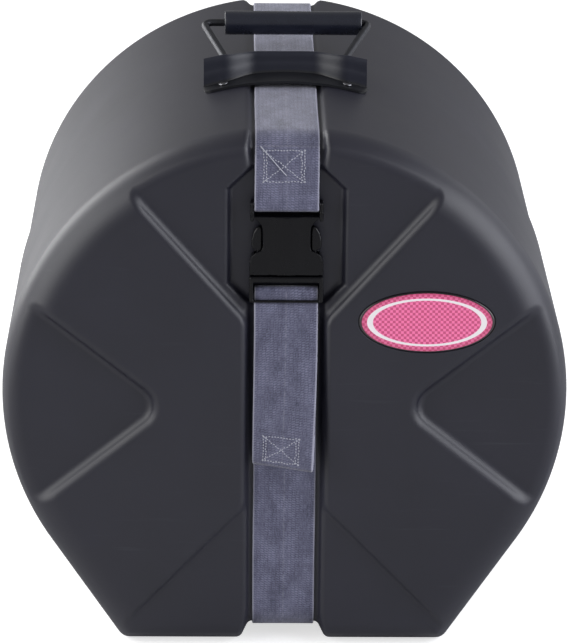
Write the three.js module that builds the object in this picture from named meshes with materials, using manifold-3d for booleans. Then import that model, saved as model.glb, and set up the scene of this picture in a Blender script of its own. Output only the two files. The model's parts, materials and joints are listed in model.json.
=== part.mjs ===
// A moulded drum case standing on its flat foot: a lid and a base that telescope along the drum's axis,
// a webbing strap with a side-release buckle, and a wire bail handle on a pressed steel bracket.
// Millimetres, +Z up, +X right, the lid's face towards -Y. The origin is under the middle of the case.

import * as THREE from 'three';
import { mergeVertices } from 'three/addons/utils/BufferGeometryUtils.js';
import Module from 'manifold-3d';

const wasm = await Module();
wasm.setup();

const degrees = THREE.MathUtils.degToRad;
const left_and_right = [['left', -1], ['right', 1]];

// Allowances
const clearance = 0.3; // between pieces that touch
const overrun = 20; // how far a cut reaches past what it cuts

// Case
const case_radius = 225; // round part of the lid's outline
const axis_height = 211; // middle of the round part above the foot
const taper_angle = degrees(33); // lower sides, from upright
const foot_corner_radius = 12;
const least_corner_radius = 3;
const case_depth = 432;
const lid_length = 210;
const wall = 4;
const lid_step = 2.5; // the base lies this far inside the lid's outline
const neck_length = 36; // part of the base inside the lid
const neck_clearance = 1;
const front_shoulder_radius = 30;
const back_shoulder_radius = 20;
const round_steps = 56;
const corner_steps = 3;
const shoulder_steps = 5;

// Strap channel
const channel_floor_width = 56;
const channel_draft_share = 0.5; // how far its sides lean out for each step up
const channel_depth_top = 6;
const channel_depth_front = 10;
const channel_depth_foot = 12;
const channel_depth_back = 8;
const channel_front_radius = 24;
const channel_back_radius = 28;

// Raised pattern on the two faces, seen as what is sunk between the pads, heights from the case's axis
const pattern_draft_share = 0.5;
const upper_depth = 7; // hollow above the crossing ribs
const upper_waist_half_width = 33;
const upper_waist_height = 73;
const upper_rim_half_width = 133;
const upper_rim_height = 187.6;
const side_depth = 8; // hollow open to the rim on each side
const side_apex_reach = 90.7;
const side_apex_height = 0.4;
const side_apex_radius = 20;
const side_half_angle = degrees(39);
const side_steps = 4;
const lower_depth = 4; // shallow hollow above the foot
const lower_waist_drop = 86;
const lower_foot_half_width = 130;
const lower_foot_drop = 188.5;
const pocket_depth = 13; // seat of the buckle
const pocket_half_width = 50;
const pocket_mouth_half_width = 28;
const pocket_top_height = 204;
const pocket_shoulder_height = 182;
const pocket_hip_height = 99;
const pocket_bottom_height = 78;

// Strap
const strap_width = 50;
const strap_thickness = 1.8;
const sewn_overlap = 0.15; // doubled webbing sinks into itself by this much
const loop_lap_angle = degrees(140); // where the sewn loop ends on the lid's top shoulder
const loop_join_height = 392;
const tail_length = 136;
const tail_fold_length = 28;
const tail_gap = 2; // behind the hanging tail

// Buckle
const buckle_thickness = 12;
const ear_half_width = 28.3;
const ear_inner_half_width = 25.5;
const ear_top = 381.5;
const socket_shoulder = 371;
const strap_bar_height = 378;
const strap_bar_radius = 2.2;
const waist_half_width = 18.5;
const waist_top = 363;
const waist_bottom = 341.5;
const socket_half_width = 29;
const socket_bottom = 323.6;
const socket_slot_half_width = 25.2;
const socket_slot_height = 7; // front to back
const insert_top = 321.1;
const insert_bottom = 299.7;
const insert_bar_across = 2.5; // lower bar in front of the strap, front to back
const insert_bar_up = 3;
const insert_block_bottom = 316.5;
const insert_cheek = 3.2;
const ladder_bar_height = 307.8;
const ladder_bar_across = 3.2; // front to back
const ladder_bar_up = 4;
const tongue_half_width = 7;
const tongue_top = 352;
const prong_thickness = 6; // front to back
const prong_arm_inner = 19;
const prong_arm_outer = 23.6;
const prong_neck = 345;
const prong_head_top = 361.5;
const prong_head_outer = 27.6;
const prong_head_inner = 19.6;

// Handle bracket, its length measured forwards from the seam and its heights from the crest of the case
const bracket_half_width = 66;
const bracket_thickness = 2;
const bracket_front_run = 69;
const bracket_rise_run = 41;
const bracket_lip_run = 36.5;
const bracket_brow_run = 18;
const bracket_drop_run = 15;
const bracket_foot_run = 12;
const bracket_back_run = 2;
const bracket_corner_radius = 8;
const bridge_half_width = 41;
const bridge_step_width = 10;
const bridge_front_height = 11;
const bridge_back_height = 14;
const end_front_lift = 7; // above the flange
const end_inner_height = 8;
const end_outer_height = 6;
const ear_inner = 37;
const ear_thickness = 3;
const ear_depth = 12;
const ear_drop = 2.6; // below the crest
const ear_rise = 9.5; // above the pivot
const slot_inner = 45.4;
const slot_outer = 58.4;
const slot_lead = 3.6; // in front of the pivot
const slot_floor_drop = 1.4; // below the pivot

// Bail and grip
const pivot_run = 22; // in front of the seam
const pivot_rise = 2.5; // above the crest
const wire_radius = 2.8;
const stub_inner = 34;
const arm_foot = 49; // half the width of the bail at its pivot
const arm_head = 68; // half its width at the grip
const bail_reach = 65;
const bail_rest_angle = degrees(15.6); // above level
const foot_bend_radius = 5;
const head_bend_radius = 6.5;
const wire_sides = 8;
const wire_steps = 76;
const grip_radius = 10;
const grip_length = 114;
const grip_sides = 16;
const grip_round = 2;
const grip_play = 0.8; // round the wire
const grip_offset = 5; // it has slid this far along the wire

// Rivets
const rivet_x = 49.5;
const rivet_front_run = 60; // in front of the seam
const rivet_rear_run = 7;
const rivet_head_radius = 4;
const rivet_head_height = 2;
const rivet_radius = 2;
const rivet_hole_radius = 2.3;
const rivet_tail_radius = 3.2;
const rivet_tail_height = 1.8;
const washer_radius = 6;
const neck_notch_half_width = 10; // lets the rear rivets pass the base's neck
const washer_thickness = 1.5;
const strap_rivet_height = 211;
const round_sides = 16;

// Badge
const badge_reach_share = 0.491; // of the case's radius, to the side
const badge_rise_share = 0.3267; // of the case's radius, above its axis
const badge_half_width = 53;
const badge_half_height = 25;
const badge_thickness = 1.6;
const badge_seat_depth = 1.2;
const badge_seat_margin = 0.8;
const badge_bevel = 0.5;
const badge_sides = 40;

// Foam
const pad_thickness = 10;
const pad_margin = 14; // inside the shell's outline
const pad_foot_margin = 18;
const pad_hole_radius = 12;
const liner_thickness = 8;
const liner_half_gap = 60; // clear of the strap channel and the rivets
const liner_setback = 6; // short of the neck

// Planes along the case
const face_y = -case_depth / 2;
const back_y = case_depth / 2;
const seam_y = face_y + lid_length;
const neck_y = seam_y - neck_length;
const crest = axis_height + case_radius;
const channel_front_y = face_y + channel_depth_front;
const channel_back_y = back_y - channel_depth_back;
const channel_top_z = crest - channel_depth_top;
const neck_inset = wall + neck_clearance;
const bracket_front = seam_y - bracket_front_run;
const bracket_rise = seam_y - bracket_rise_run;
const bracket_lip = seam_y - bracket_lip_run;
const bracket_brow = seam_y - bracket_brow_run;
const bracket_drop = seam_y - bracket_drop_run;
const bracket_foot = seam_y - bracket_foot_run;
const bracket_back = seam_y - bracket_back_run;
const rivet_front_y = seam_y - rivet_front_run;
const rivet_rear_y = seam_y - rivet_rear_run;
const pivot_y = seam_y - pivot_run;
const pivot_height = crest + pivot_rise;
const badge_x = case_radius * badge_reach_share;
const badge_height = axis_height + case_radius * badge_rise_share;

// Finishes
function finish(color, roughness, metalness = 0) {
  return new THREE.MeshStandardMaterial({ color, roughness, metalness });
}
const shell_plastic = () => finish(0x333338, 0.6);
const buckle_plastic = () => finish(0x18181b, 0.4);
const webbing = () => finish(0x5f6070, 0.9);
const coated_steel = () => finish(0x1d1e26, 0.35, 0.4);
const bright_steel = () => finish(0xb8b8bc, 0.3, 1);
const foam = () => finish(0x3c3c40, 1);

// Solids from closed meshes and back
function solid(geometry) {
  const plain = geometry.index ? geometry.toNonIndexed() : geometry.clone();
  plain.deleteAttribute('normal');
  plain.deleteAttribute('uv');
  const merged = mergeVertices(plain);
  return new wasm.Manifold(new wasm.Mesh({
    numProp: 3,
    vertProperties: new Float32Array(merged.attributes.position.array),
    triVerts: new Uint32Array(merged.index.array),
  }));
}

function geometryOf(body) {
  const mesh = body.getMesh();
  const geometry = new THREE.BufferGeometry();
  const properties = mesh.vertProperties;
  const stride = mesh.numProp;
  const count = properties.length / stride;
  const positions = new Float32Array(count * 3);
  for (let i = 0; i < count; i += 1) {
    positions.set(properties.subarray(i * stride, i * stride + 3), i * 3);
  }
  geometry.setAttribute('position', new THREE.BufferAttribute(positions, 3));
  geometry.setIndex([...mesh.triVerts]);
  return geometry;
}

function less(body, ...cutters) {
  return cutters.reduce((rest, cutter) => rest.subtract(cutter), body);
}

// A closed solid through rings of points, each with the same number; the contour is the first ring, laid flat
function loft(rings, contour) {
  const count = contour.length;
  const positions = rings.flatMap((ring) => ring.flatMap((p) => [p.x, p.y, p.z]));
  const index = [];
  for (let i = 0; i + 1 < rings.length; i += 1) {
    for (let j = 0; j < count; j += 1) {
      const k = (j + 1) % count;
      const a = i * count + j;
      const b = i * count + k;
      index.push(a, a + count, b + count, a, b + count, b);
    }
  }
  const last = (rings.length - 1) * count;
  for (const [a, b, c] of THREE.ShapeUtils.triangulateShape(contour, [])) {
    index.push(a, b, c, last + a, last + c, last + b);
  }
  const geometry = new THREE.BufferGeometry();
  geometry.setAttribute('position', new THREE.Float32BufferAttribute(positions, 3));
  geometry.setIndex(index);
  return solid(geometry);
}

function box(x0, x1, y0, y1, z0, z1) {
  const geometry = new THREE.BoxGeometry(x1 - x0, y1 - y0, z1 - z0);
  geometry.translate((x0 + x1) / 2, (y0 + y1) / 2, (z0 + z1) / 2);
  return solid(geometry);
}

function both(x0, x1, ...rest) {
  return box(x0, x1, ...rest).add(box(-x1, -x0, ...rest));
}

// A flat outline of [x, z] seen from the front, from y0 to y1
function slab(points, y0, y1) {
  const shape = new THREE.Shape(points.map(([x, z]) => new THREE.Vector2(x, z)));
  const geometry = new THREE.ExtrudeGeometry(shape, { depth: y1 - y0, bevelEnabled: false });
  const x = new THREE.Vector3(1, 0, 0);
  const y = new THREE.Vector3(0, 0, 1);
  const z = new THREE.Vector3(0, -1, 0);
  geometry.applyMatrix4(new THREE.Matrix4().makeBasis(x, y, z));
  geometry.translate(0, y1, 0);
  return solid(geometry);
}

// A flat outline of [y, z] seen from the side, as wide as given about the middle
function sideSlab(points, width) {
  const shape = new THREE.Shape(points.map(([y, z]) => new THREE.Vector2(y, z)));
  const geometry = new THREE.ExtrudeGeometry(shape, { depth: width, bevelEnabled: false });
  const x = new THREE.Vector3(0, 1, 0);
  const y = new THREE.Vector3(0, 0, 1);
  const z = new THREE.Vector3(1, 0, 0);
  geometry.applyMatrix4(new THREE.Matrix4().makeBasis(x, y, z));
  geometry.translate(-width / 2, 0, 0);
  return solid(geometry);
}

// A solid of revolution about +Z through [radius, z] points, from axis to axis
function turned(points, sides = round_sides) {
  const geometry = new THREE.LatheGeometry(points.map(([r, z]) => new THREE.Vector2(r, z)), sides);
  geometry.rotateX(Math.PI / 2);
  return solid(geometry);
}

function placed(body, matrix) {
  return solid(geometryOf(body).applyMatrix4(matrix));
}

// Outline of the case, run round as seen from the front and moved in by the inset
function outline(inset, foot_inset = inset) {
  const r = case_radius - inset;
  const q = Math.max(foot_corner_radius - foot_inset, least_corner_radius);
  const corner_z = foot_inset + q;
  const corner_x = (r - q - (axis_height - corner_z) * Math.sin(taper_angle)) / Math.cos(taper_angle);
  const points = [];
  const arc = (x, z, radius, from, to, steps) => {
    for (let i = 0; i <= steps; i += 1) {
      const a = from + (to - from) * (i / steps);
      points.push(new THREE.Vector2(x + radius * Math.cos(a), z + radius * Math.sin(a)));
    }
  };
  arc(corner_x, corner_z, q, -Math.PI / 2, -taper_angle, corner_steps);
  arc(0, axis_height, r, -taper_angle, Math.PI + taper_angle, round_steps);
  arc(-corner_x, corner_z, q, Math.PI + taper_angle, Math.PI * 1.5, corner_steps);
  return points;
}

function ringAt(points, y) {
  return points.map((p) => new THREE.Vector3(p.x, y, p.y));
}

// A case-shaped solid between two planes, its front or back edge rounded by the given radii
function caseSolid(inset, foot_inset, y0, y1, front_radius, back_radius) {
  const stations = [];
  const round = (y, radius, side) => {
    const arc = [];
    for (let i = 0; i <= shoulder_steps; i += 1) {
      const a = (Math.PI / 2) * (i / shoulder_steps);
      const pulled = radius * (1 - Math.sin(a));
      arc.push([y + side * radius * (1 - Math.cos(a)), inset + pulled, foot_inset + pulled]);
    }
    return arc;
  };
  stations.push(...(front_radius ? round(y0, front_radius, 1) : [[y0, inset, foot_inset]]));
  stations.push(...(back_radius ? round(y1, back_radius, -1).reverse() : [[y1, inset, foot_inset]]));
  const rings = stations.map(([y, a, b]) => ringAt(outline(a, b), y));
  return loft(rings, outline(stations[0][1], stations[0][2]));
}

// Path of the channel's floor in [y, z], moved out by the given offset, with its outward direction
function cornerPath(y, z, radius, from, to, steps = shoulder_steps) {
  const points = [];
  for (let i = 0; i <= steps; i += 1) {
    const a = from + (to - from) * (i / steps);
    const out = [Math.cos(a), Math.sin(a)];
    points.push({ y: y + radius * out[0], z: z + radius * out[1], out });
  }
  return points;
}

function frontCorner(top, offset, from = Math.PI, to = Math.PI / 2) {
  const y = channel_front_y + channel_front_radius;
  const radius = channel_front_radius + offset;
  if (top) return cornerPath(y, channel_top_z - channel_front_radius, radius, from, to);
  return cornerPath(y, channel_depth_foot + channel_front_radius, radius, -Math.PI / 2, -Math.PI);
}

function backCorner(top, offset) {
  const y = channel_back_y - channel_back_radius;
  const radius = channel_back_radius + offset;
  if (top) return cornerPath(y, channel_top_z - channel_back_radius, radius, Math.PI / 2, 0);
  return cornerPath(y, channel_depth_foot + channel_back_radius, radius, 0, -Math.PI / 2);
}

function footPoint(y, offset) {
  return { y, z: channel_depth_foot - offset, out: [0, -1] };
}

function topPoint(y, offset) {
  return { y, z: channel_top_z + offset, out: [0, 1] };
}

// What the strap channel takes out of a shell, grown by the given amount
function channelCut(path, grow) {
  const slant = grow * Math.hypot(1, channel_draft_share);
  const half = (up) => channel_floor_width / 2 + channel_draft_share * up + slant;
  const low = -grow;
  const section = [[-half(low), low], [half(low), low], [half(overrun), overrun], [-half(overrun), overrun]];
  const contour = section.map(([x, up]) => new THREE.Vector2(x, up));
  const rings = path.map((p) => section.map(([x, up]) => (
    new THREE.Vector3(x, p.y + up * p.out[0], p.z + up * p.out[1]))));
  return loft(rings, contour);
}

function lidChannel(grow) {
  const end = seam_y + overrun;
  return channelCut([footPoint(end, 0), ...frontCorner(false, 0), ...frontCorner(true, 0), topPoint(end, 0)], grow);
}

function baseChannel(start, grow) {
  return channelCut([topPoint(start, 0), ...backCorner(true, 0), ...backCorner(false, 0), footPoint(start, 0)], grow);
}

// A polygon run counterclockwise, moved outwards
function grown(points, by) {
  return points.map((p, i) => {
    const before = points[(i + points.length - 1) % points.length];
    const after = points[(i + 1) % points.length];
    const a = new THREE.Vector2(p.y - before.y, before.x - p.x).normalize();
    const b = new THREE.Vector2(after.y - p.y, p.x - after.x).normalize();
    const miter = a.clone().add(b).multiplyScalar(by / (1 + a.dot(b)));
    return p.clone().add(miter);
  });
}

// A hollow with drafted sides sunk into the front face or the back face
function hollow(points, depth, grow, at_back) {
  const slant = grow * Math.hypot(1, pattern_draft_share);
  const mouth = grown(points, pattern_draft_share * overrun + slant);
  const floor = grown(points, slant - pattern_draft_share * (depth + grow));
  const rings = at_back
    ? [ringAt(floor, back_y - depth - grow), ringAt(mouth, back_y + overrun)]
    : [ringAt(mouth, face_y - overrun), ringAt(floor, face_y + depth + grow)];
  return loft(rings, at_back ? floor : mouth);
}

function fromAxis(list) {
  return list.map(([x, z]) => new THREE.Vector2(x, axis_height + z));
}

function upperHollow() {
  const lean = (upper_rim_half_width - upper_waist_half_width) / (upper_rim_height - upper_waist_height);
  const top = case_radius + overrun;
  const wide = upper_rim_half_width + lean * (top - upper_rim_height);
  return fromAxis([
    [-upper_waist_half_width, upper_waist_height],
    [upper_waist_half_width, upper_waist_height],
    [wide, top],
    [-wide, top],
  ]);
}

function lowerHollow() {
  const lean = (lower_foot_half_width - upper_waist_half_width) / (lower_foot_drop - lower_waist_drop);
  const bottom = axis_height + overrun;
  const wide = lower_foot_half_width + lean * (bottom - lower_foot_drop);
  return fromAxis([
    [-wide, -bottom],
    [wide, -bottom],
    [upper_waist_half_width, -lower_waist_drop],
    [-upper_waist_half_width, -lower_waist_drop],
  ]);
}

function sideHollow(side) {
  const reach = case_radius + overrun;
  const rise = (reach - side_apex_reach) * Math.tan(side_half_angle);
  const middle = side_apex_reach + side_apex_radius / Math.sin(side_half_angle);
  const turn = Math.PI / 2 - side_half_angle;
  const points = [[reach, side_apex_height - rise], [reach, side_apex_height + rise]];
  for (let i = 0; i <= side_steps; i += 1) {
    const a = Math.PI - turn + 2 * turn * (i / side_steps);
    points.push([middle + side_apex_radius * Math.cos(a), side_apex_height + side_apex_radius * Math.sin(a)]);
  }
  const run = points.map(([x, z]) => [side * x, z]);
  return fromAxis(side > 0 ? run : run.reverse());
}

function buckleHollow() {
  const right = [
    [pocket_mouth_half_width, pocket_bottom_height],
    [pocket_half_width, pocket_hip_height],
    [pocket_half_width, pocket_shoulder_height],
    [pocket_mouth_half_width, pocket_top_height],
  ];
  return fromAxis([...right, ...right.map(([x, z]) => [-x, z]).reverse()]);
}

function pattern(grow, at_back) {
  return [
    hollow(upperHollow(), upper_depth, grow, at_back),
    hollow(lowerHollow(), lower_depth, grow, at_back),
    ...left_and_right.map(([, side]) => hollow(sideHollow(side), side_depth, grow, at_back)),
  ];
}

// Things along a radius of the round top: local +Z points away from the case's axis
function onCrest(x, y) {
  const turn = new THREE.Matrix4().makeRotationY(Math.asin(x / case_radius));
  return new THREE.Matrix4().makeTranslation(0, y, axis_height).multiply(turn);
}

const rivet_places = left_and_right.flatMap(([hand, side]) => [
  [`front_${hand}`, side * rivet_x, rivet_front_y],
  [`rear_${hand}`, side * rivet_x, rivet_rear_y],
]);

function rivetHole(matrix, low, high) {
  return placed(turned([[0, low], [rivet_hole_radius, low], [rivet_hole_radius, high], [0, high]]), matrix);
}

function rivetHoles() {
  const low = case_radius - overrun;
  const high = case_radius + overrun;
  return rivet_places.map(([, x, y]) => rivetHole(onCrest(x, y), low, high));
}

function ellipse(half_width, half_height) {
  const points = [];
  for (let i = 0; i < badge_sides; i += 1) {
    const a = (2 * Math.PI * i) / badge_sides;
    points.push(new THREE.Vector2(badge_x + half_width * Math.cos(a), badge_height + half_height * Math.sin(a)));
  }
  return points;
}

function lidShell() {
  const body = caseSolid(0, 0, face_y, seam_y, front_shoulder_radius, 0);
  const seat = ellipse(badge_half_width + badge_seat_margin, badge_half_height + badge_seat_margin);
  const seat_cut = loft([ringAt(seat, face_y - overrun), ringAt(seat, face_y + badge_seat_depth)], seat);
  const outer = less(
    body,
    lidChannel(0),
    ...pattern(0, false),
    hollow(buckleHollow(), pocket_depth, 0, false),
    seat_cut,
    ...rivetHoles(),
  );
  const inner = less(
    caseSolid(wall, wall, face_y + wall, seam_y + overrun, front_shoulder_radius - wall, 0),
    lidChannel(wall),
    ...pattern(wall, false),
    hollow(buckleHollow(), pocket_depth, wall, false),
  );
  return outer.subtract(inner);
}

function strapRivetMatrix() {
  const turn = new THREE.Matrix4().makeRotationX(-Math.PI / 2);
  return new THREE.Matrix4().makeTranslation(0, 0, strap_rivet_height).multiply(turn);
}

function baseShell() {
  const main = less(
    caseSolid(lid_step, 0, seam_y + clearance, back_y, 0, back_shoulder_radius),
    baseChannel(seam_y - overrun, 0),
    ...pattern(0, true),
  );
  const neck = caseSolid(neck_inset, neck_inset, neck_y, seam_y + wall, 0, 0)
    .subtract(baseChannel(neck_y - overrun, neck_inset));
  const main_inset = lid_step + wall;
  const room = less(
    caseSolid(main_inset, wall, seam_y + wall, back_y - wall, 0, back_shoulder_radius - wall),
    baseChannel(seam_y - overrun, wall),
    ...pattern(wall, true),
  );
  const neck_in = neck_inset + wall;
  const mouth = caseSolid(neck_in, neck_in, neck_y - overrun, seam_y + wall * 2, 0, 0)
    .subtract(baseChannel(neck_y - overrun * 2, neck_in));
  const notch_inner = rivet_x - neck_notch_half_width;
  const notch_outer = rivet_x + neck_notch_half_width;
  const notches = both(notch_inner, notch_outer, neck_y - overrun, seam_y, crest - overrun * 2, crest);
  const rivet_hole = rivetHole(strapRivetMatrix(), back_y - overrun, back_y + overrun);
  return less(main.add(neck), room, mouth, notches, rivet_hole);
}

// Webbing: a band that follows a path of {y, z, out}, one thickness deep above it
function band(path, lift = 0) {
  const at = (p, up) => [p.y + up * p.out[0], p.z + up * p.out[1]];
  const under = path.map((p) => at(p, lift));
  const over = path.map((p) => at(p, lift + strap_thickness)).reverse();
  return sideSlab([...under, ...over], strap_width);
}

// A band about a centre line of [y, z], the outward directions worked out from its neighbours
function centred(line) {
  return line.map(([y, z], i) => {
    const [y0, z0] = line[Math.max(i - 1, 0)];
    const [y1, z1] = line[Math.min(i + 1, line.length - 1)];
    const run = Math.hypot(y1 - y0, z1 - z0);
    return { y, z, out: [-(z1 - z0) / run, (y1 - y0) / run] };
  });
}

function strapUpperFront() {
  const lift = clearance;
  const inner = strap_bar_radius + clearance;
  const bar_y = strapBarY();
  const upper = band([
    { y: channel_front_y - lift, z: strap_bar_height, out: [-1, 0] },
    ...frontCorner(true, lift),
    topPoint(seam_y - clearance, lift),
  ]);
  const half = strap_thickness / 2;
  const middle = inner + half;
  const wrap = cornerPath(bar_y, strap_bar_height, middle, 0, -Math.PI).map((p) => [p.y, p.z]);
  const second = lift + strap_thickness - sewn_overlap + half;
  const lap = frontCorner(true, second, Math.PI, loop_lap_angle).map((p) => [p.y, p.z]);
  const join = [channel_front_y - second, loop_join_height];
  const loop = centred([...wrap, join, ...lap]);
  return upper.add(band(loop, -half));
}

function strapBarY() {
  return channel_front_y - clearance - strap_thickness - strap_bar_radius - clearance;
}

function strapLowerFront() {
  const half = strap_thickness / 2;
  const lift = clearance;
  const back = ladderY() + ladder_bar_across / 2 + clearance + half;
  const front = ladderY() - ladder_bar_across / 2 - clearance - half;
  const crown = ladder_bar_height + ladder_bar_up / 2 + clearance + half;
  const middle = channel_front_y - lift - half;
  const foot = frontCorner(false, lift + half).map((p) => [p.y, p.z]);
  const entry = insert_bottom - strap_thickness * 4;
  return band(centred([
    [seam_y - clearance, channel_depth_foot - lift - half],
    ...foot,
    [middle, entry],
    [back, insert_bottom + strap_thickness],
    [back, ladder_bar_height + half],
    [back - half / 2, crown - half / 2],
    [ladderY(), crown],
    [front + half / 2, crown - half / 2],
    [front, ladder_bar_height + half],
    [front, insert_bottom],
  ]), -half);
}

function strapRear() {
  const lift = clearance;
  const start = seam_y + clearance;
  const path = [topPoint(start, lift), ...backCorner(true, lift), ...backCorner(false, lift), footPoint(start, lift)];
  return band(path).subtract(rivetHole(strapRivetMatrix(), back_y - overrun, back_y + overrun));
}

function tailY() {
  return ladderY() - ladder_bar_across / 2 - clearance - strap_thickness;
}

function strapTail() {
  const top = insert_bottom - clearance;
  const out = [-1, 0];
  const bottom = top - tail_length;
  const single = band([{ y: tailY() + strap_thickness, z: bottom, out }, { y: tailY() + strap_thickness, z: top, out }]);
  const fold_y = tailY() + sewn_overlap;
  const fold = band([{ y: fold_y, z: bottom, out }, { y: fold_y, z: bottom + tail_fold_length, out }]);
  return single.add(fold);
}

// Buckle
const buckle_back_y = face_y + pocket_depth - clearance;
const buckle_front_y = buckle_back_y - buckle_thickness;
const buckle_middle_y = (buckle_back_y + buckle_front_y) / 2;

function ladderY() {
  return buckle_middle_y + clearance;
}

function buckleSocket() {
  const right = [
    [socket_half_width, socket_bottom],
    [socket_half_width - clearance, waist_bottom - (ear_half_width - waist_half_width) / 2],
    [waist_half_width, waist_bottom],
    [waist_half_width, waist_top],
    [ear_half_width, socket_shoulder],
    [ear_half_width, ear_top],
    [ear_inner_half_width, ear_top],
    [ear_inner_half_width, socket_shoulder],
  ];
  const run = [...right, ...right.map(([x, z]) => [-x, z]).reverse()];
  const body = slab(run, buckle_front_y, buckle_back_y);
  const bar_turn = new THREE.Matrix4().makeRotationY(Math.PI / 2);
  const bar_place = new THREE.Matrix4().makeTranslation(0, strapBarY(), strap_bar_height).multiply(bar_turn);
  const half = (ear_inner_half_width + ear_half_width) / 2;
  const bar = placed(turned([[0, -half], [strap_bar_radius, -half], [strap_bar_radius, half], [0, half]]), bar_place);
  const slot_front_y = buckle_middle_y - socket_slot_height / 2;
  const slot_back_y = buckle_middle_y + socket_slot_height / 2;
  const slot = box(
    -socket_slot_half_width, socket_slot_half_width, slot_front_y, slot_back_y,
    socket_bottom - overrun, waist_top + clearance);
  return body.add(bar).subtract(slot);
}

function buckleInsert() {
  const half = socket_half_width;
  const frame = box(-half, half, buckle_front_y, buckle_back_y, insert_bottom, insert_top);
  const inside = half - insert_cheek;
  const room = box(
    -inside, inside, buckle_front_y - overrun, buckle_back_y + overrun,
    insert_bottom - overrun, insert_block_bottom);
  const lower_bar = box(
    -half, half, buckle_front_y, buckle_front_y + insert_bar_across, insert_bottom, insert_bottom + insert_bar_up);
  const across = ladder_bar_across / 2;
  const up = ladder_bar_up / 2;
  const bar = box(-half, half, ladderY() - across, ladderY() + across, ladder_bar_height - up, ladder_bar_height + up);
  const deep = prong_thickness / 2;
  const tongue = box(
    -tongue_half_width, tongue_half_width, buckle_middle_y - deep, buckle_middle_y + deep,
    insert_block_bottom, tongue_top);
  return frame.subtract(room).add(lower_bar).add(bar).add(tongue);
}

function buckleProng(side) {
  const foot = insert_top + clearance;
  const points = [
    [prong_arm_inner, foot],
    [prong_arm_outer, foot],
    [prong_arm_outer - 2 * clearance, prong_neck],
    [prong_head_outer, prong_neck],
    [prong_head_outer, (prong_neck + prong_head_top) / 2],
    [(prong_head_inner + prong_head_outer) / 2, prong_head_top],
    [prong_head_inner - clearance, prong_head_top - clearance],
    [prong_arm_inner, prong_neck],
  ].map(([x, z]) => [side * x, z]);
  const deep = prong_thickness / 2;
  return slab(side > 0 ? points : points.reverse(), buckle_middle_y - deep, buckle_middle_y + deep);
}

// Handle bracket: height of the plate's upper side over the case
function bracketHeight(x, y) {
  const reach = Math.abs(x);
  const on_case = axis_height + Math.sqrt(case_radius ** 2 - x ** 2) + clearance + bracket_thickness;
  const step = THREE.MathUtils.clamp((bridge_half_width + bridge_step_width - reach) / bridge_step_width, 0, 1);
  const ends = bracket_half_width - bridge_half_width - bridge_step_width;
  const out = THREE.MathUtils.clamp((reach - bridge_half_width - bridge_step_width) / ends, 0, 1);
  const end_back = crest + THREE.MathUtils.lerp(end_inner_height, end_outer_height, out);
  const front = THREE.MathUtils.lerp(on_case + end_front_lift, crest + bridge_front_height, step);
  const back = THREE.MathUtils.lerp(end_back, crest + bridge_back_height, step);
  const along = THREE.MathUtils.clamp((y - bracket_lip) / (bracket_brow - bracket_lip), 0, 1);
  const raised = THREE.MathUtils.lerp(front, back, Math.sin((along * Math.PI) / 2));
  if (y <= bracket_rise || y >= bracket_foot) return on_case;
  if (y < bracket_lip) return THREE.MathUtils.mapLinear(y, bracket_rise, bracket_lip, on_case, raised);
  if (y > bracket_drop) return THREE.MathUtils.mapLinear(y, bracket_drop, bracket_foot, raised, on_case);
  return raised;
}

function bracketPlate() {
  const step_end = bridge_half_width + bridge_step_width;
  const flat = bracket_half_width - bracket_corner_radius;
  const right = [bridge_half_width / 2, bridge_half_width, step_end, flat];
  const edge = (y) => {
    const from_end = Math.min(y - bracket_front, bracket_back - y);
    const short = Math.max(bracket_corner_radius - from_end, 0);
    return bracket_half_width - bracket_corner_radius + Math.sqrt(bracket_corner_radius ** 2 - short ** 2);
  };
  const corner = bracket_corner_radius * (1 - Math.SQRT1_2);
  const middle_y = (bracket_lip + bracket_brow) / 2;
  const ys = [
    bracket_front, bracket_front + corner, bracket_front + bracket_corner_radius, bracket_rise, bracket_lip,
    (bracket_lip + middle_y) / 2, middle_y, (middle_y + bracket_brow) / 2, bracket_brow, bracket_drop,
    bracket_foot, bracket_back - corner, bracket_back,
  ];
  const row = (y) => {
    const outer = Math.max(edge(y), flat + clearance);
    const xs = [...right, outer];
    return [...xs.map((x) => -x).reverse(), 0, ...xs];
  };
  const slope = clearance / 2;
  const normal = (x, y) => {
    const dx = bracketHeight(x + slope, y) - bracketHeight(x - slope, y);
    const dy = bracketHeight(x, y + slope) - bracketHeight(x, y - slope);
    return new THREE.Vector3(-dx / (2 * slope), -dy / (2 * slope), 1).normalize();
  };
  const top = [];
  const bottom = [];
  for (const y of ys) {
    for (const x of row(y)) {
      const p = new THREE.Vector3(x, y, bracketHeight(x, y));
      top.push(p);
      bottom.push(p.clone().addScaledVector(normal(x, y), -bracket_thickness));
    }
  }
  const columns = row(0).length;
  const count = top.length;
  const index = [];
  const quad = (a, b, c, d) => index.push(a, b, c, a, c, d);
  for (let j = 0; j + 1 < ys.length; j += 1) {
    for (let i = 0; i + 1 < columns; i += 1) {
      const a = j * columns + i;
      const c = a + columns + 1;
      quad(a, a + 1, c, a + columns);
      quad(count + a, count + a + columns, count + c, count + a + 1);
    }
  }
  const last = (ys.length - 1) * columns;
  for (let i = 0; i + 1 < columns; i += 1) {
    quad(i, count + i, count + i + 1, i + 1);
    quad(last + i, last + i + 1, count + last + i + 1, count + last + i);
  }
  for (let j = 0; j + 1 < ys.length; j += 1) {
    const a = j * columns;
    const b = a + columns - 1;
    quad(a, a + columns, count + a + columns, count + a);
    quad(b, count + b, count + b + columns, b + columns);
  }
  const geometry = new THREE.BufferGeometry();
  const positions = [...top, ...bottom].flatMap((p) => [p.x, p.y, p.z]);
  geometry.setAttribute('position', new THREE.Float32BufferAttribute(positions, 3));
  geometry.setIndex(index);
  return solid(geometry);
}

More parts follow.
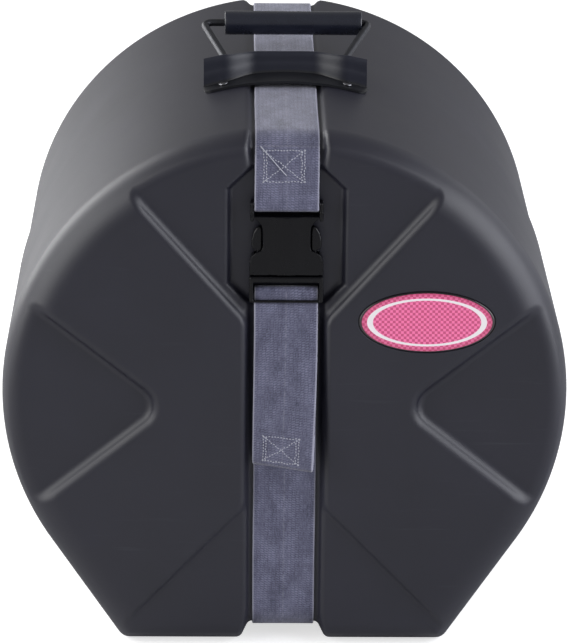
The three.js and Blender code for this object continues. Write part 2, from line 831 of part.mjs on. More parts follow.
function pivotCylinder(radius, x0, x1) {
  const turn = new THREE.Matrix4().makeRotationY(Math.PI / 2);
  const place = new THREE.Matrix4().makeTranslation(0, pivot_y, pivot_height).multiply(turn);
  return placed(turned([[0, x0], [radius, x0], [radius, x1], [0, x1]]), place);
}

function handleBracket() {
  const front = pivot_y - ear_depth / 2;
  const back = pivot_y + ear_depth / 2;
  const ears = both(ear_inner, ear_inner + ear_thickness, front, back, crest - ear_drop, pivot_height + ear_rise);
  const slots = both(
    slot_inner, slot_outer, pivot_y - slot_lead, bracket_foot + overrun,
    pivot_height - slot_floor_drop, crest + bridge_back_height + overrun);
  const hole = wire_radius + clearance;
  const holes = left_and_right.map(([, side]) => {
    const reach = [side * (ear_inner - overrun / 2), side * slot_outer];
    return pivotCylinder(hole, Math.min(...reach), Math.max(...reach));
  });
  return less(bracketPlate().add(ears), slots, ...holes, ...rivetHoles());
}

// The bail lies in its own plane, hinged along X: [x, distance from the pivot]
function bailPath() {
  const corners = [
    [-stub_inner, 0, 0],
    [-arm_foot, 0, foot_bend_radius],
    [-arm_head, bail_reach, head_bend_radius],
    [arm_head, bail_reach, head_bend_radius],
    [arm_foot, 0, foot_bend_radius],
    [stub_inner, 0, 0],
  ];
  const path = new THREE.CurvePath();
  const point = ([x, along]) => new THREE.Vector3(
    x, pivot_y + along * Math.cos(bail_rest_angle), pivot_height + along * Math.sin(bail_rest_angle));
  let from = point(corners[0]);
  for (let i = 1; i + 1 < corners.length; i += 1) {
    const here = point(corners[i]);
    const back = point(corners[i - 1]).sub(here).normalize();
    const on = point(corners[i + 1]).sub(here).normalize();
    const setback = corners[i][2] / Math.tan(back.angleTo(on) / 2);
    const start = here.clone().addScaledVector(back, setback);
    const end = here.clone().addScaledVector(on, setback);
    path.add(new THREE.LineCurve3(from, start));
    path.add(new THREE.QuadraticBezierCurve3(start, here, end));
    from = end;
  }
  path.add(new THREE.LineCurve3(from, point(corners[corners.length - 1])));
  return path;
}

function handleBail() {
  const section = new THREE.Shape();
  for (let i = 0; i < wire_sides; i += 1) {
    const a = (2 * Math.PI * (i + 1 / 2)) / wire_sides;
    const x = wire_radius * Math.cos(a);
    const y = wire_radius * Math.sin(a);
    if (i === 0) section.moveTo(x, y);
    else section.lineTo(x, y);
  }
  section.closePath();
  return solid(new THREE.ExtrudeGeometry(section, { steps: wire_steps, extrudePath: bailPath() }));
}

function handleGrip() {
  const bore = wire_radius + grip_play;
  const half = grip_length / 2;
  const profile = [
    [bore, -half],
    [grip_radius - grip_round, -half],
    [grip_radius, -half + grip_round],
    [grip_radius, half - grip_round],
    [grip_radius - grip_round, half],
    [bore, half],
    [bore, -half],
  ];
  const turn = new THREE.Matrix4().makeRotationY(Math.PI / 2);
  const y = pivot_y + bail_reach * Math.cos(bail_rest_angle);
  const z = pivot_height + bail_reach * Math.sin(bail_rest_angle);
  const place = new THREE.Matrix4().makeTranslation(grip_offset, y, z);
  return placed(turned(profile, grip_sides), place.multiply(turn));
}

// Rivets stand along local +Z, clamping from the washer's underside to the outer layer's top
function rivet(inner, outer) {
  const head = outer + clearance;
  const tail = inner - clearance;
  return turned([
    [0, tail - rivet_tail_height],
    [rivet_tail_radius, tail - rivet_tail_height],
    [rivet_tail_radius, tail],
    [rivet_radius, tail],
    [rivet_radius, head],
    [rivet_head_radius, head],
    [rivet_head_radius * Math.SQRT1_2, head + rivet_head_height * Math.SQRT1_2],
    [0, head + rivet_head_height],
  ]);
}

function washer(top) {
  const low = top - washer_thickness;
  return turned([
    [rivet_hole_radius, low],
    [washer_radius, low],
    [washer_radius, top],
    [rivet_hole_radius, top],
    [rivet_hole_radius, low],
  ]);
}

function badge() {
  const y = face_y + badge_seat_depth - clearance;
  const full = ellipse(badge_half_width, badge_half_height);
  const slim = ellipse(badge_half_width - badge_bevel, badge_half_height - badge_bevel);
  const front = y - badge_thickness;
  return loft([ringAt(slim, front), ringAt(full, front + badge_bevel), ringAt(full, y)], slim);
}

// Foam
function endPad(y0, y1, channel) {
  const disc = caseSolid(pad_margin, pad_foot_margin, y0, y1, 0, 0).subtract(channel);
  const hole = turned([[0, y0 - overrun], [pad_hole_radius, y0 - overrun], [pad_hole_radius, y1 + overrun],
    [0, y1 + overrun]]);
  return disc.subtract(placed(hole, strapRivetMatrix()));
}

function liner(side, inset, foot_inset, y0, y1) {
  const outer = caseSolid(inset, foot_inset, y0, y1, 0, 0);
  const deeper = inset + liner_thickness;
  const inner = caseSolid(deeper, foot_inset + liner_thickness, y0 - overrun, y1 + overrun, 0, 0);
  const reach = case_radius + overrun;
  const [x0, x1] = side > 0 ? [liner_half_gap, reach] : [-reach, -liner_half_gap];
  return outer.subtract(inner).intersect(box(x0, x1, y0 - overrun, y1 + overrun, -overrun, crest + overrun));
}

// The assembly
const drum_case = new THREE.Group();

function add(parent, name, body, material) {
  const mesh = new THREE.Mesh(geometryOf(body), material);
  mesh.name = name;
  parent.add(mesh);
}

const lid_pad_y = face_y + pocket_depth + wall + clearance;
const lid_pad_end = lid_pad_y + pad_thickness;
const base_pad_end = back_y - Math.max(side_depth, channel_depth_back) - wall - clearance;
const base_pad_y = base_pad_end - pad_thickness;

add(drum_case, 'lid_shell', lidShell(), shell_plastic());
add(drum_case, 'base_shell', baseShell(), shell_plastic());
const channel_room = wall + clearance;
const lid_pad = endPad(lid_pad_y, lid_pad_end, lidChannel(channel_room));
const base_pad = endPad(base_pad_y, base_pad_end, baseChannel(neck_y, channel_room));
add(drum_case, 'lid_end_pad', lid_pad, foam());
add(drum_case, 'base_end_pad', base_pad, foam());
for (const [hand, side] of left_and_right) {
  const lid_inset = wall + clearance;
  const base_inset = lid_step + wall + clearance;
  const lid_liner = liner(side, lid_inset, lid_inset, face_y + front_shoulder_radius, neck_y - liner_setback);
  const base_liner = liner(side, base_inset, lid_inset, seam_y + wall + clearance, base_pad_y - clearance);
  add(drum_case, `lid_liner_${hand}`, lid_liner, foam());
  add(drum_case, `base_liner_${hand}`, base_liner, foam());
  add(drum_case, `buckle_prong_${hand}`, buckleProng(side), buckle_plastic());
}

add(drum_case, 'strap_upper_front', strapUpperFront(), webbing());
add(drum_case, 'strap_lower_front', strapLowerFront(), webbing());
add(drum_case, 'strap_rear', strapRear(), webbing());
add(drum_case, 'strap_tail', strapTail(), webbing());
add(drum_case, 'buckle_socket', buckleSocket(), buckle_plastic());
add(drum_case, 'buckle_insert', buckleInsert(), buckle_plastic());

add(drum_case, 'handle_bracket', handleBracket(), coated_steel());
add(drum_case, 'handle_bail', handleBail(), coated_steel());
add(drum_case, 'handle_grip', handleGrip(), buckle_plastic());

const shell_inside = case_radius - wall - clearance;
for (const [place, x, y] of rivet_places) {
  const stand = new THREE.Group();
  onCrest(x, y).decompose(stand.position, stand.quaternion, stand.scale);
  const bracket_top = case_radius + clearance + bracket_thickness;
  add(stand, `rivet_${place}`, rivet(shell_inside - washer_thickness, bracket_top), bright_steel());
  add(stand, `washer_${place}`, washer(shell_inside), bright_steel());
  drum_case.add(stand);
}

const strap_stand = new THREE.Group();
strapRivetMatrix().decompose(strap_stand.position, strap_stand.quaternion, strap_stand.scale);
const back_inside = channel_back_y - wall - clearance;
const strap_outside = channel_back_y + clearance + strap_thickness;
add(strap_stand, 'strap_rivet', rivet(back_inside - washer_thickness, strap_outside), bright_steel());
add(strap_stand, 'strap_washer', washer(back_inside), bright_steel());
drum_case.add(strap_stand);

add(drum_case, 'badge', badge(), finish(0xd0507c, 0.35));

export default drum_case;
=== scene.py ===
"""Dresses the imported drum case: moulded shells, webbing, buckle, handle, badge and foam.

Lengths are millimetres unless a name says otherwise, in the frame's directions: +X to the right, +Y from the
lid's face to the back, +Z up. Meshes are made in metres.
"""

import json
import logging
import math
from collections.abc import Callable, Sequence
from dataclasses import dataclass, field
from enum import Enum

import bmesh
import bpy
import numpy as np
from mathutils import Euler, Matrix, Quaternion, Vector

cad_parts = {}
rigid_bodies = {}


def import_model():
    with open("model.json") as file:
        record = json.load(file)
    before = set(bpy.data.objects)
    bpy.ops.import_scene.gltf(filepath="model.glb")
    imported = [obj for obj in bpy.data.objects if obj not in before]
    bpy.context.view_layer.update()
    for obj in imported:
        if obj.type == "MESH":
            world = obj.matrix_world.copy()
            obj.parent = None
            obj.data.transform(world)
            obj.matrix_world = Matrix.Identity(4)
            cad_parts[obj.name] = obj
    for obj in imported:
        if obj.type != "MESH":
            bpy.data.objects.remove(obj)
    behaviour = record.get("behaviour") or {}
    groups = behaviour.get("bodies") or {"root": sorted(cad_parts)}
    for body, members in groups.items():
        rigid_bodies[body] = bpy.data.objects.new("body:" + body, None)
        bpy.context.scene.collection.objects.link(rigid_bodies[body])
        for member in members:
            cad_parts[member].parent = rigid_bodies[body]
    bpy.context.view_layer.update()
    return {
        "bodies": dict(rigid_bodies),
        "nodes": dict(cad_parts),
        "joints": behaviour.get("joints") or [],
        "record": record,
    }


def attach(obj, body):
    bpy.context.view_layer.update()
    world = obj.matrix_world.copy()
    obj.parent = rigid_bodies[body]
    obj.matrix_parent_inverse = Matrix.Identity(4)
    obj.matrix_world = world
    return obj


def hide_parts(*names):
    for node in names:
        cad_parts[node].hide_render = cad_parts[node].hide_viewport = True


MM = 0.001
FIXED_SEED = 7

log = logging.getLogger("drum_case")

Field = Callable[[np.ndarray], np.ndarray]


# Colour and nodes


def linear(code: str) -> tuple[float, float, float, float]:
    """Turns an sRGB colour into the linear one that shaders take.

    Args:
        code: six hex digits after a hash.

    Returns:
        Red, green, blue and alpha.
    """
    shares = [int(code[i : i + 2], 16) / 255 for i in (1, 3, 5)]
    low, high = 12.92, 1.055
    parts = [s / low if s <= 0.04045 else ((s + 0.055) / high) ** 2.4 for s in shares]
    return (*parts, 1.0)


def add_node(tree: bpy.types.NodeTree, kind: str, links: dict | None = None, **settings: object) -> bpy.types.Node:
    """Adds a node, sets it and fills its inputs.

    Args:
        tree: tree that gets the node.
        kind: the node's type.
        links: input name or number to a value, or to the output socket that feeds it.
        settings: properties of the node.

    Returns:
        The new node.
    """
    node = tree.nodes.new(kind)
    for name, value in settings.items():
        setattr(node, name, value)
    for key, value in (links or {}).items():
        if isinstance(value, bpy.types.NodeSocket):
            tree.links.new(value, node.inputs[key])
        else:
            node.inputs[key].default_value = value
    return node


@dataclass(frozen=True)
class Finish:
    """A surface: what is the same all over it, and the pattern that a subclass adds."""

    name: str
    color: str
    roughness: float = 0.5
    ior: float = 1.5
    metallic: float = 0.0
    coat: float = 0.0
    coat_roughness: float = 0.1
    sheen: float = 0.0

    def pattern(self, tree: bpy.types.NodeTree, shader: bpy.types.Node) -> None:
        """Adds nothing: a subclass draws its grain, weave or wear here."""

    def material(self) -> bpy.types.Material:
        """Makes the material once and finds it again after that."""
        known = bpy.data.materials.get(self.name)
        if known:
            return known
        made = bpy.data.materials.new(self.name)
        made.use_nodes = True
        tree = made.node_tree
        shader = tree.nodes["Principled BSDF"]
        values = {
            "Base Color": linear(self.color),
            "Roughness": self.roughness,
            "Metallic": self.metallic,
            "Coat Weight": self.coat,
            "Coat Roughness": self.coat_roughness,
            "Sheen Weight": self.sheen,
        }
        if not self.metallic:
            values["IOR"] = self.ior
        for key, value in values.items():
            shader.inputs[key].default_value = value
        self.pattern(tree, shader)
        return made


@dataclass(frozen=True)
class MouldedPolyethylene(Finish):
    """Black polyethylene, rotationally moulded: a dull skin with a fine pebbled grain and faint handling marks."""

    grain: float = 1.5  # pebbles are about half this on the real skin, and are drawn as coarse as shows
    grain_height: float = 0.05
    cloud: float = 70.0
    dark: str = "#15151f"
    pale: str = "#1f1f2b"
    scuffed: str = "#3a3b43"

    def pattern(self, tree: bpy.types.NodeTree, shader: bpy.types.Node) -> None:
        """Draws the grain as bump, and clouds and scuffs as colour and roughness.

        Args:
            tree: the material's tree.
            shader: its main shader.
        """
        place = add_node(tree, "ShaderNodeTexCoord").outputs["Object"]
        cloud = add_node(tree, "ShaderNodeTexNoise", {"Vector": place, "Scale": 1 / (self.cloud * MM), "Detail": 3.0})
        tone = add_node(tree, "ShaderNodeMix", {"Factor": cloud.outputs["Fac"]}, data_type="RGBA")
        for socket, code in ((6, self.dark), (7, self.pale)):
            tone.inputs[socket].default_value = linear(code)
        streaks = add_node(tree, "ShaderNodeMapping", {"Vector": place, "Scale": (14.0, 90.0, 260.0)})
        scuff = add_node(tree, "ShaderNodeTexNoise", {"Vector": streaks.outputs[0], "Scale": 1.0, "Detail": 4.0})
        sparse = add_node(
            tree,
            "ShaderNodeMapRange",
            {"Value": scuff.outputs["Fac"], "From Min": 0.66, "From Max": 0.80, "To Max": 0.28},
        )
        worn = add_node(tree, "ShaderNodeMix", {"Factor": sparse.outputs[0]}, data_type="RGBA")
        tree.links.new(tone.outputs[2], worn.inputs[6])
        worn.inputs[7].default_value = linear(self.scuffed)
        tree.links.new(worn.outputs[2], shader.inputs["Base Color"])
        rough = add_node(
            tree,
            "ShaderNodeMapRange",
            {"Value": cloud.outputs["Fac"], "To Min": self.roughness - 0.05, "To Max": self.roughness + 0.06},
        )
        tree.links.new(rough.outputs[0], shader.inputs["Roughness"])
        pebbles = add_node(tree, "ShaderNodeTexNoise", {"Vector": place, "Scale": 1 / (self.grain * MM), "Detail": 2.0})
        bump = add_node(
            tree,
            "ShaderNodeBump",
            {"Height": pebbles.outputs["Fac"], "Distance": self.grain_height * MM, "Strength": 1.0},
        )
        tree.links.new(bump.outputs[0], shader.inputs["Normal"])


@dataclass(frozen=True)
class WovenWebbing(Finish):
    """Polypropylene webbing: crosswise ribs in narrow ranks, dull, with a paler thread along each edge."""

    rib: float = 2.1  # the real ribs are 1.3 apart, too fine to show
    rank: float = 3.1
    relief: float = 0.4
    half_width: float = 25.0
    dark: str = "#2f3046"
    pale: str = "#8586a0"
    edge: str = "#b0b0c0"

    def pattern(self, tree: bpy.types.NodeTree, shader: bpy.types.Node) -> None:
        """Draws the ribs from the piece's own map, which is in millimetres across and along.

        Args:
            tree: the material's tree.
            shader: its main shader.
        """
        chart = add_node(tree, "ShaderNodeUVMap", uv_map="weave")
        parts = add_node(tree, "ShaderNodeSeparateXYZ", {"Vector": chart.outputs[0]})
        across, along = parts.outputs[0], parts.outputs[1]

        def step(kind: str, a: object, b: object = 0.0) -> bpy.types.NodeSocket:
            """One step of arithmetic."""
            return add_node(tree, "ShaderNodeMath", {0: a, 1: b}, operation=kind).outputs[0]

        def noise(scale: tuple[float, float], detail: float) -> bpy.types.NodeSocket:
            """Noise over the map, with so many cells in each millimetre across and along."""
            spot = add_node(tree, "ShaderNodeMapping", {"Vector": chart.outputs[0], "Scale": (*scale, 1.0)})
            return add_node(
                tree, "ShaderNodeTexNoise", {"Vector": spot.outputs[0], "Scale": 1.0, "Detail": detail}
            ).outputs["Fac"]

        def band(value: object, low: float, high: float, top: float) -> bpy.types.NodeSocket:
            """Runs from 0 to the given top between two limits."""
            limits = {"Value": value, "From Min": low, "From Max": high, "To Max": top}
            return add_node(tree, "ShaderNodeMapRange", limits).outputs[0]

        def mix(share: bpy.types.NodeSocket, before: bpy.types.NodeSocket | str, after: str) -> bpy.types.NodeSocket:
            """Mixes a colour in."""
            made = add_node(tree, "ShaderNodeMix", {"Factor": share}, data_type="RGBA")
            made.inputs[7].default_value = linear(after)
            if isinstance(before, str):
                made.inputs[6].default_value = linear(before)
            else:
                tree.links.new(before, made.inputs[6])
            return made.outputs[2]

        rank = step("FLOOR", step("DIVIDE", across, self.rank))
        shift = step("MULTIPLY", step("MODULO", step("ABSOLUTE", rank), 2.0), math.pi)
        wander = step("MULTIPLY", noise((0.12, 0.05), 2.0), 5.0)
        slant = step("ADD", step("MULTIPLY", across, 0.9), wander)
        turn = step("ADD", step("MULTIPLY", along, 2 * math.pi / self.rib), step("ADD", shift, slant))
        ribs = step("MULTIPLY", step("ADD", step("SINE", turn), 1.0), 0.5)
        threads = step("ABSOLUTE", step("SINE", step("MULTIPLY", across, math.pi / self.rank)))
        height = step("MULTIPLY", ribs, step("POWER", threads, 0.35))
        fibres, patch = noise((1.3, 0.25), 3.0), noise((0.07, 0.035), 2.0)
        clear = band(noise((0.09, 0.05), 2.0), 0.38, 0.62, 0.36)
        mixed = step("ADD", step("MULTIPLY", height, step("ADD", clear, 0.12)), step("MULTIPLY", fibres, 0.8))
        mixed = step("ADD", mixed, step("MULTIPLY", step("SUBTRACT", patch, 0.8), 0.55))
        tone = mix(mixed, self.dark, self.pale)
        centre = step("SUBTRACT", 0.2, band(step("ABSOLUTE", across), 0.3, 0.8, 0.2))
        tone = mix(step("MULTIPLY", centre, band(noise((0.0, 0.2), 2.0), 0.35, 0.6, 1.0)), tone, self.edge)
        rim = band(step("ABSOLUTE", across), self.half_width - 1.5, self.half_width - 0.8, 0.6)
        tree.links.new(mix(rim, tone, self.edge), shader.inputs["Base Color"])
        bump = add_node(tree, "ShaderNodeBump", {"Height": mixed, "Distance": self.relief * MM, "Strength": 1.0})
        tree.links.new(bump.outputs[0], shader.inputs["Normal"])


@dataclass(frozen=True)
class GrainedFinish(Finish):
    """A finish whose colour, roughness and skin vary a little over the piece."""

    grain: float = 0.6
    grain_height: float = 0.02
    cloud: float = 12.0
    other: str = "#202024"
    roughness_spread: float = 0.08

    def pattern(self, tree: bpy.types.NodeTree, shader: bpy.types.Node) -> None:
        """Draws soft clouds of colour and roughness, and the grain as bump.

        Args:
            tree: the material's tree.
            shader: its main shader.
        """
        place = add_node(tree, "ShaderNodeTexCoord").outputs["Object"]
        cloud = add_node(tree, "ShaderNodeTexNoise", {"Vector": place, "Scale": 1 / (self.cloud * MM), "Detail": 4.0})
        tone = add_node(tree, "ShaderNodeMix", {"Factor": cloud.outputs["Fac"]}, data_type="RGBA")
        tone.inputs[6].default_value = linear(self.color)
        tone.inputs[7].default_value = linear(self.other)
        tree.links.new(tone.outputs[2], shader.inputs["Base Color"])
        rough = add_node(
            tree,
            "ShaderNodeMapRange",
            {
                "Value": cloud.outputs["Fac"],
                "To Min": self.roughness - self.roughness_spread,
                "To Max": self.roughness + self.roughness_spread,
            },
        )
        tree.links.new(rough.outputs[0], shader.inputs["Roughness"])
        skin = add_node(tree, "ShaderNodeTexNoise", {"Vector": place, "Scale": 1 / (self.grain * MM), "Detail": 3.0})
        bump = add_node(
            tree,
            "ShaderNodeBump",
            {"Height": skin.outputs["Fac"], "Distance": self.grain_height * MM, "Strength": 1.0},
        )
        tree.links.new(bump.outputs[0], shader.inputs["Normal"])


@dataclass(frozen=True)
class CoatedSteel(GrainedFinish):
    """Coated pressed steel, with painted shade: the flange where it lies on the case is drawn darker and more neutral,
    and isn't a known second coat.
    """

    # painted shade: the flange's darker, neutral colour where it lies on the case
    painted_flange_shade: str = "#15161a"
    axis_height: float = 211.0
    painted_shade_reach: tuple[float, float] = (227.8, 229.5)

    def pattern(self, tree: bpy.types.NodeTree, shader: bpy.types.Node) -> None:
        """Draws the coat, then paints shade on the flange, which it finds by its distance from the case's axis.

        Args:
            tree: the material's tree.
            shader: its main shader.
        """
        super().pattern(tree, shader)
        coat = shader.inputs["Base Color"].links[0].from_socket
        place = add_node(tree, "ShaderNodeTexCoord").outputs["Object"]
        flat = add_node(
            tree, "ShaderNodeMapping", {"Vector": place, "Location": (0, 0, -self.axis_height * MM), "Scale": (1, 0, 1)}
        )
        reach = add_node(tree, "ShaderNodeVectorMath", {0: flat.outputs[0]}, operation="LENGTH")
        # painted shade on the flange, from the distance to the case's axis
        low, high = (limit * MM for limit in self.painted_shade_reach)
        limits = {"Value": reach.outputs["Value"], "From Min": low, "From Max": high}
        share = add_node(tree, "ShaderNodeMapRange", limits)
        tone = add_node(tree, "ShaderNodeMix", {"Factor": share.outputs[0]}, data_type="RGBA")
        tone.inputs[6].default_value = linear(self.painted_flange_shade)
        tree.links.new(coat, tone.inputs[7])
        tree.links.new(tone.outputs[2], shader.inputs["Base Color"])


@dataclass(frozen=True)
class PrintedBadge(Finish):
    """A printed oval under clear gloss: fine pink chequer, a darker band round it, a pale ring, and painted shade as a
    dark rim at its edge.
    """

    centre: tuple[float, float] = (110.475, 284.5075)
    half_width: float = 53.0
    half_height: float = 25.0
    check: float = 2.2  # a little coarser than the real chequer, to show
    dark: str = "#d3437a"
    pale: str = "#fa7bb0"
    band: str = "#a81f4a"
    ring: str = "#f6eef0"
    # painted shade: the seat's shadow, drawn as a dark rim round the oval's edge
    rim: str = "#1c1013"
    ring_outside: tuple[float, float, float] = (1.127, 1.0, 1.25)  # both scale the oval up to an edge of the ring
    ring_inside: tuple[float, float, float] = (1.25, 1.0, 1.37)

    def pattern(self, tree: bpy.types.NodeTree, shader: bpy.types.Node) -> None:
        """Draws the print, and the painted shade of its rim, from the distance to the middle of the oval.

        Args:
            tree: the material's tree.
            shader: its main shader.
        """
        place = add_node(tree, "ShaderNodeTexCoord").outputs["Object"]
        middle = (-self.centre[0] / self.half_width, 0.0, -self.centre[1] / self.half_height)
        scale = (1 / (self.half_width * MM), 0.0, 1 / (self.half_height * MM))
        oval = add_node(tree, "ShaderNodeMapping", {"Vector": place, "Location": middle, "Scale": scale})
        reach = add_node(tree, "ShaderNodeVectorMath", {0: oval.outputs[0]}, operation="LENGTH")
        flat = add_node(tree, "ShaderNodeMapping", {"Vector": place, "Scale": (1.0, 0.0, 1.0)})
        checks = add_node(
            tree,
            "ShaderNodeTexChecker",
            {
                "Vector": flat.outputs[0],
                "Scale": 1 / (self.check * MM),
                "Color1": linear(self.dark),
                "Color2": linear(self.pale),
            },
        )
        outer = add_node(tree, "ShaderNodeMapRange", {"Value": reach.outputs["Value"], "From Min": 0.8, "To Max": 0.6})
        field_tone = add_node(tree, "ShaderNodeMix", {"Factor": outer.outputs[0]}, data_type="RGBA")
        tree.links.new(checks.outputs[0], field_tone.inputs[6])
        field_tone.inputs[7].default_value = linear(self.band)
        tone = field_tone.outputs[2]
        sides = []
        for scale, side in ((self.ring_outside, "LESS_THAN"), (self.ring_inside, "GREATER_THAN")):
            spot = add_node(tree, "ShaderNodeMapping", {"Vector": oval.outputs[0], "Scale": scale})
            length = add_node(tree, "ShaderNodeVectorMath", {0: spot.outputs[0]}, operation="LENGTH")
            sides.append(add_node(tree, "ShaderNodeMath", {0: length.outputs["Value"], 1: 1.0}, operation=side))
        ring = add_node(tree, "ShaderNodeMath", {0: sides[0].outputs[0], 1: sides[1].outputs[0]}, operation="MULTIPLY")
        # painted shade: the dark rim at the oval's edge stands in for the seat's shadow
        rim = add_node(tree, "ShaderNodeMath", {0: reach.outputs["Value"], 1: 0.965}, operation="GREATER_THAN")
        for share, code in ((ring, self.ring), (rim, self.rim)):
            shown = add_node(tree, "ShaderNodeMix", {"Factor": share.outputs[0]}, data_type="RGBA")
            tree.links.new(tone, shown.inputs[6])
            shown.inputs[7].default_value = linear(code)
            tone = shown.outputs[2]
        tree.links.new(tone, shader.inputs["Base Color"])


@dataclass(frozen=True)
class StudioFloor(Finish):
    """Matt pale floor that the camera sees as near white, with the object's shadow kept."""

    lift: float = 0.65

    def pattern(self, tree: bpy.types.NodeTree, shader: bpy.types.Node) -> None:
        """Adds a little light that only the camera sees.

        Args:
            tree: the material's tree.
            shader: its main shader.
        """
        rays = add_node(tree, "ShaderNodeLightPath")
        seen = rays.outputs["Is Camera Ray"]
        strength = add_node(tree, "ShaderNodeMath", {0: seen, 1: self.lift}, operation="MULTIPLY")
        shader.inputs["Emission Color"].default_value = (1.0, 1.0, 1.0, 1.0)
        tree.links.new(strength.outputs[0], shader.inputs["Emission Strength"])


# Black polyethylene shell: dull sheen, near-black
SHELL = MouldedPolyethylene("rotomoulded_polyethylene", "#1d1d21", roughness=0.46, ior=1.51)
# Slate webbing: almost no gloss, soft edge light on its fibres
WEBBING = WovenWebbing("woven_polypropylene_webbing", "#5f6070", roughness=0.82, ior=1.49, sheen=0.25)
# Sewing thread: paler than the webbing, slightly silky
THREAD = GrainedFinish("bonded_nylon_thread", "#b9bac6", roughness=0.55, ior=1.53, other="#90919d", sheen=0.2)
# Black acetal: satin, with soft highlights along its rounded edges
BUCKLE = GrainedFinish("injection_moulded_acetal", "#040407", roughness=0.26, ior=1.33, other="#08080c")
# Blue-black electrophoretic coat on pressed steel: smooth and fairly glossy
BRACKET = CoatedSteel(
    "e_coated_pressed_steel", "#151722", roughness=0.42, ior=1.4, other="#1b1d29", coat=0.08,
    coat_roughness=0.3, grain=1.2, cloud=20.0,
)
# Dark zinc-plated wire: grey, half bright, a little patchy
WIRE = GrainedFinish(
    "black_zinc_plated_wire", "#3d3e43", roughness=0.42, metallic=0.7, other="#26272b", cloud=6.0
)
# Hard plastic tube of the grip: smooth, blue-grey black
GRIP = GrainedFinish("extruded_pvc_tube", "#161822", roughness=0.27, ior=1.53, other="#1c1f2b", cloud=16.0)
# Blackened rivets: dark metal, worn brighter in patches
RIVET = GrainedFinish(
    "blackened_steel", "#57575b", roughness=0.34, metallic=1.0, other="#7c7c80", cloud=3.0
)
# Closed-cell foam: dull, finely pitted
FOAM = GrainedFinish(
    "closed_cell_foam", "#2e2e31", roughness=0.92, ior=1.45, other="#3a3a3d", grain=2.2, grain_height=0.5,
    cloud=30.0, roughness_spread=0.04, sheen=0.1,
)
BADGE = PrintedBadge("printed_polycarbonate", "#d0507c", roughness=0.28, ior=1.58, coat=0.6, coat_roughness=0.06)
FLOOR = StudioFloor("matt_studio_paper", "#d9d9d9", roughness=0.9)


# Distance fields: negative inside a solid


def rounded_max(a: np.ndarray, b: np.ndarray, radius: float) -> np.ndarray:
    """What two solids share, its edge rounded.

    Args:
        a: one field.
        b: the other field.
        radius: of the edge.

    Returns:
        The shared solid's field.
    """
    corner = np.hypot(np.maximum(a + radius, 0), np.maximum(b + radius, 0))
    return np.minimum(np.maximum(a, b), -radius) + corner


def rounded_min(a: np.ndarray, b: np.ndarray, radius: float) -> np.ndarray:
    """Both solids together, the corner between them filled.

    Args:
        a: one field.
        b: the other field.
        radius: of the fillet.

    Returns:
        The joined solid's field.
    """
    return -rounded_max(-a, -b, radius)


def polygon_field(points: Sequence[tuple[float, float]], u: np.ndarray, v: np.ndarray) -> np.ndarray:
    """Distance to a polygon in its own plane.

    Args:
        points: its corners, in either direction.
        u: first coordinates.
        v: second coordinates.

    Returns:
        The distance, negative inside.
    """
    nearest = np.full(u.shape, np.inf)
    inside = np.zeros(u.shape, bool)
    for (u0, v0), (u1, v1) in zip(points, [*points[1:], points[0]]):
        du, dv = u1 - u0, v1 - v0
        share = np.clip(((u - u0) * du + (v - v0) * dv) / (du * du + dv * dv), 0, 1)
        nearest = np.minimum(nearest, np.hypot(u - u0 - share * du, v - v0 - share * dv))
        crossed = (v0 > v) != (v1 > v)
        if dv:
            inside ^= crossed & (u < u0 + (v - v0) * du / dv)
    return np.where(inside, -nearest, nearest)


def box_field(points: np.ndarray, low: Sequence[float], high: Sequence[float], radius: float) -> np.ndarray:
    """A box with rounded edges.

    Args:
        points: where to measure.
        low: lowest corner.
        high: highest corner.
        radius: of its edges.

    Returns:
        The distance, negative inside.
    """
    middle, half = (np.array(low) + np.array(high)) / 2, (np.array(high) - np.array(low)) / 2
    over = np.abs(points - middle) - (half - radius)
    return np.linalg.norm(np.maximum(over, 0), axis=1) + np.minimum(over.max(axis=1), 0) - radius


def gradient(shape: Field, points: np.ndarray, reach: float = 0.05) -> np.ndarray:
    """The direction in which a field grows fastest.

    Args:
        shape: the field.
        points: where to measure.
        reach: half the distance between the samples.

    Returns:
        One vector for each point.
    """
    made = np.empty_like(points)
    for axis in range(3):
        step = np.zeros(3)
        step[axis] = reach
        made[:, axis] = (shape(points + step) - shape(points - step)) / (2 * reach)
    return made


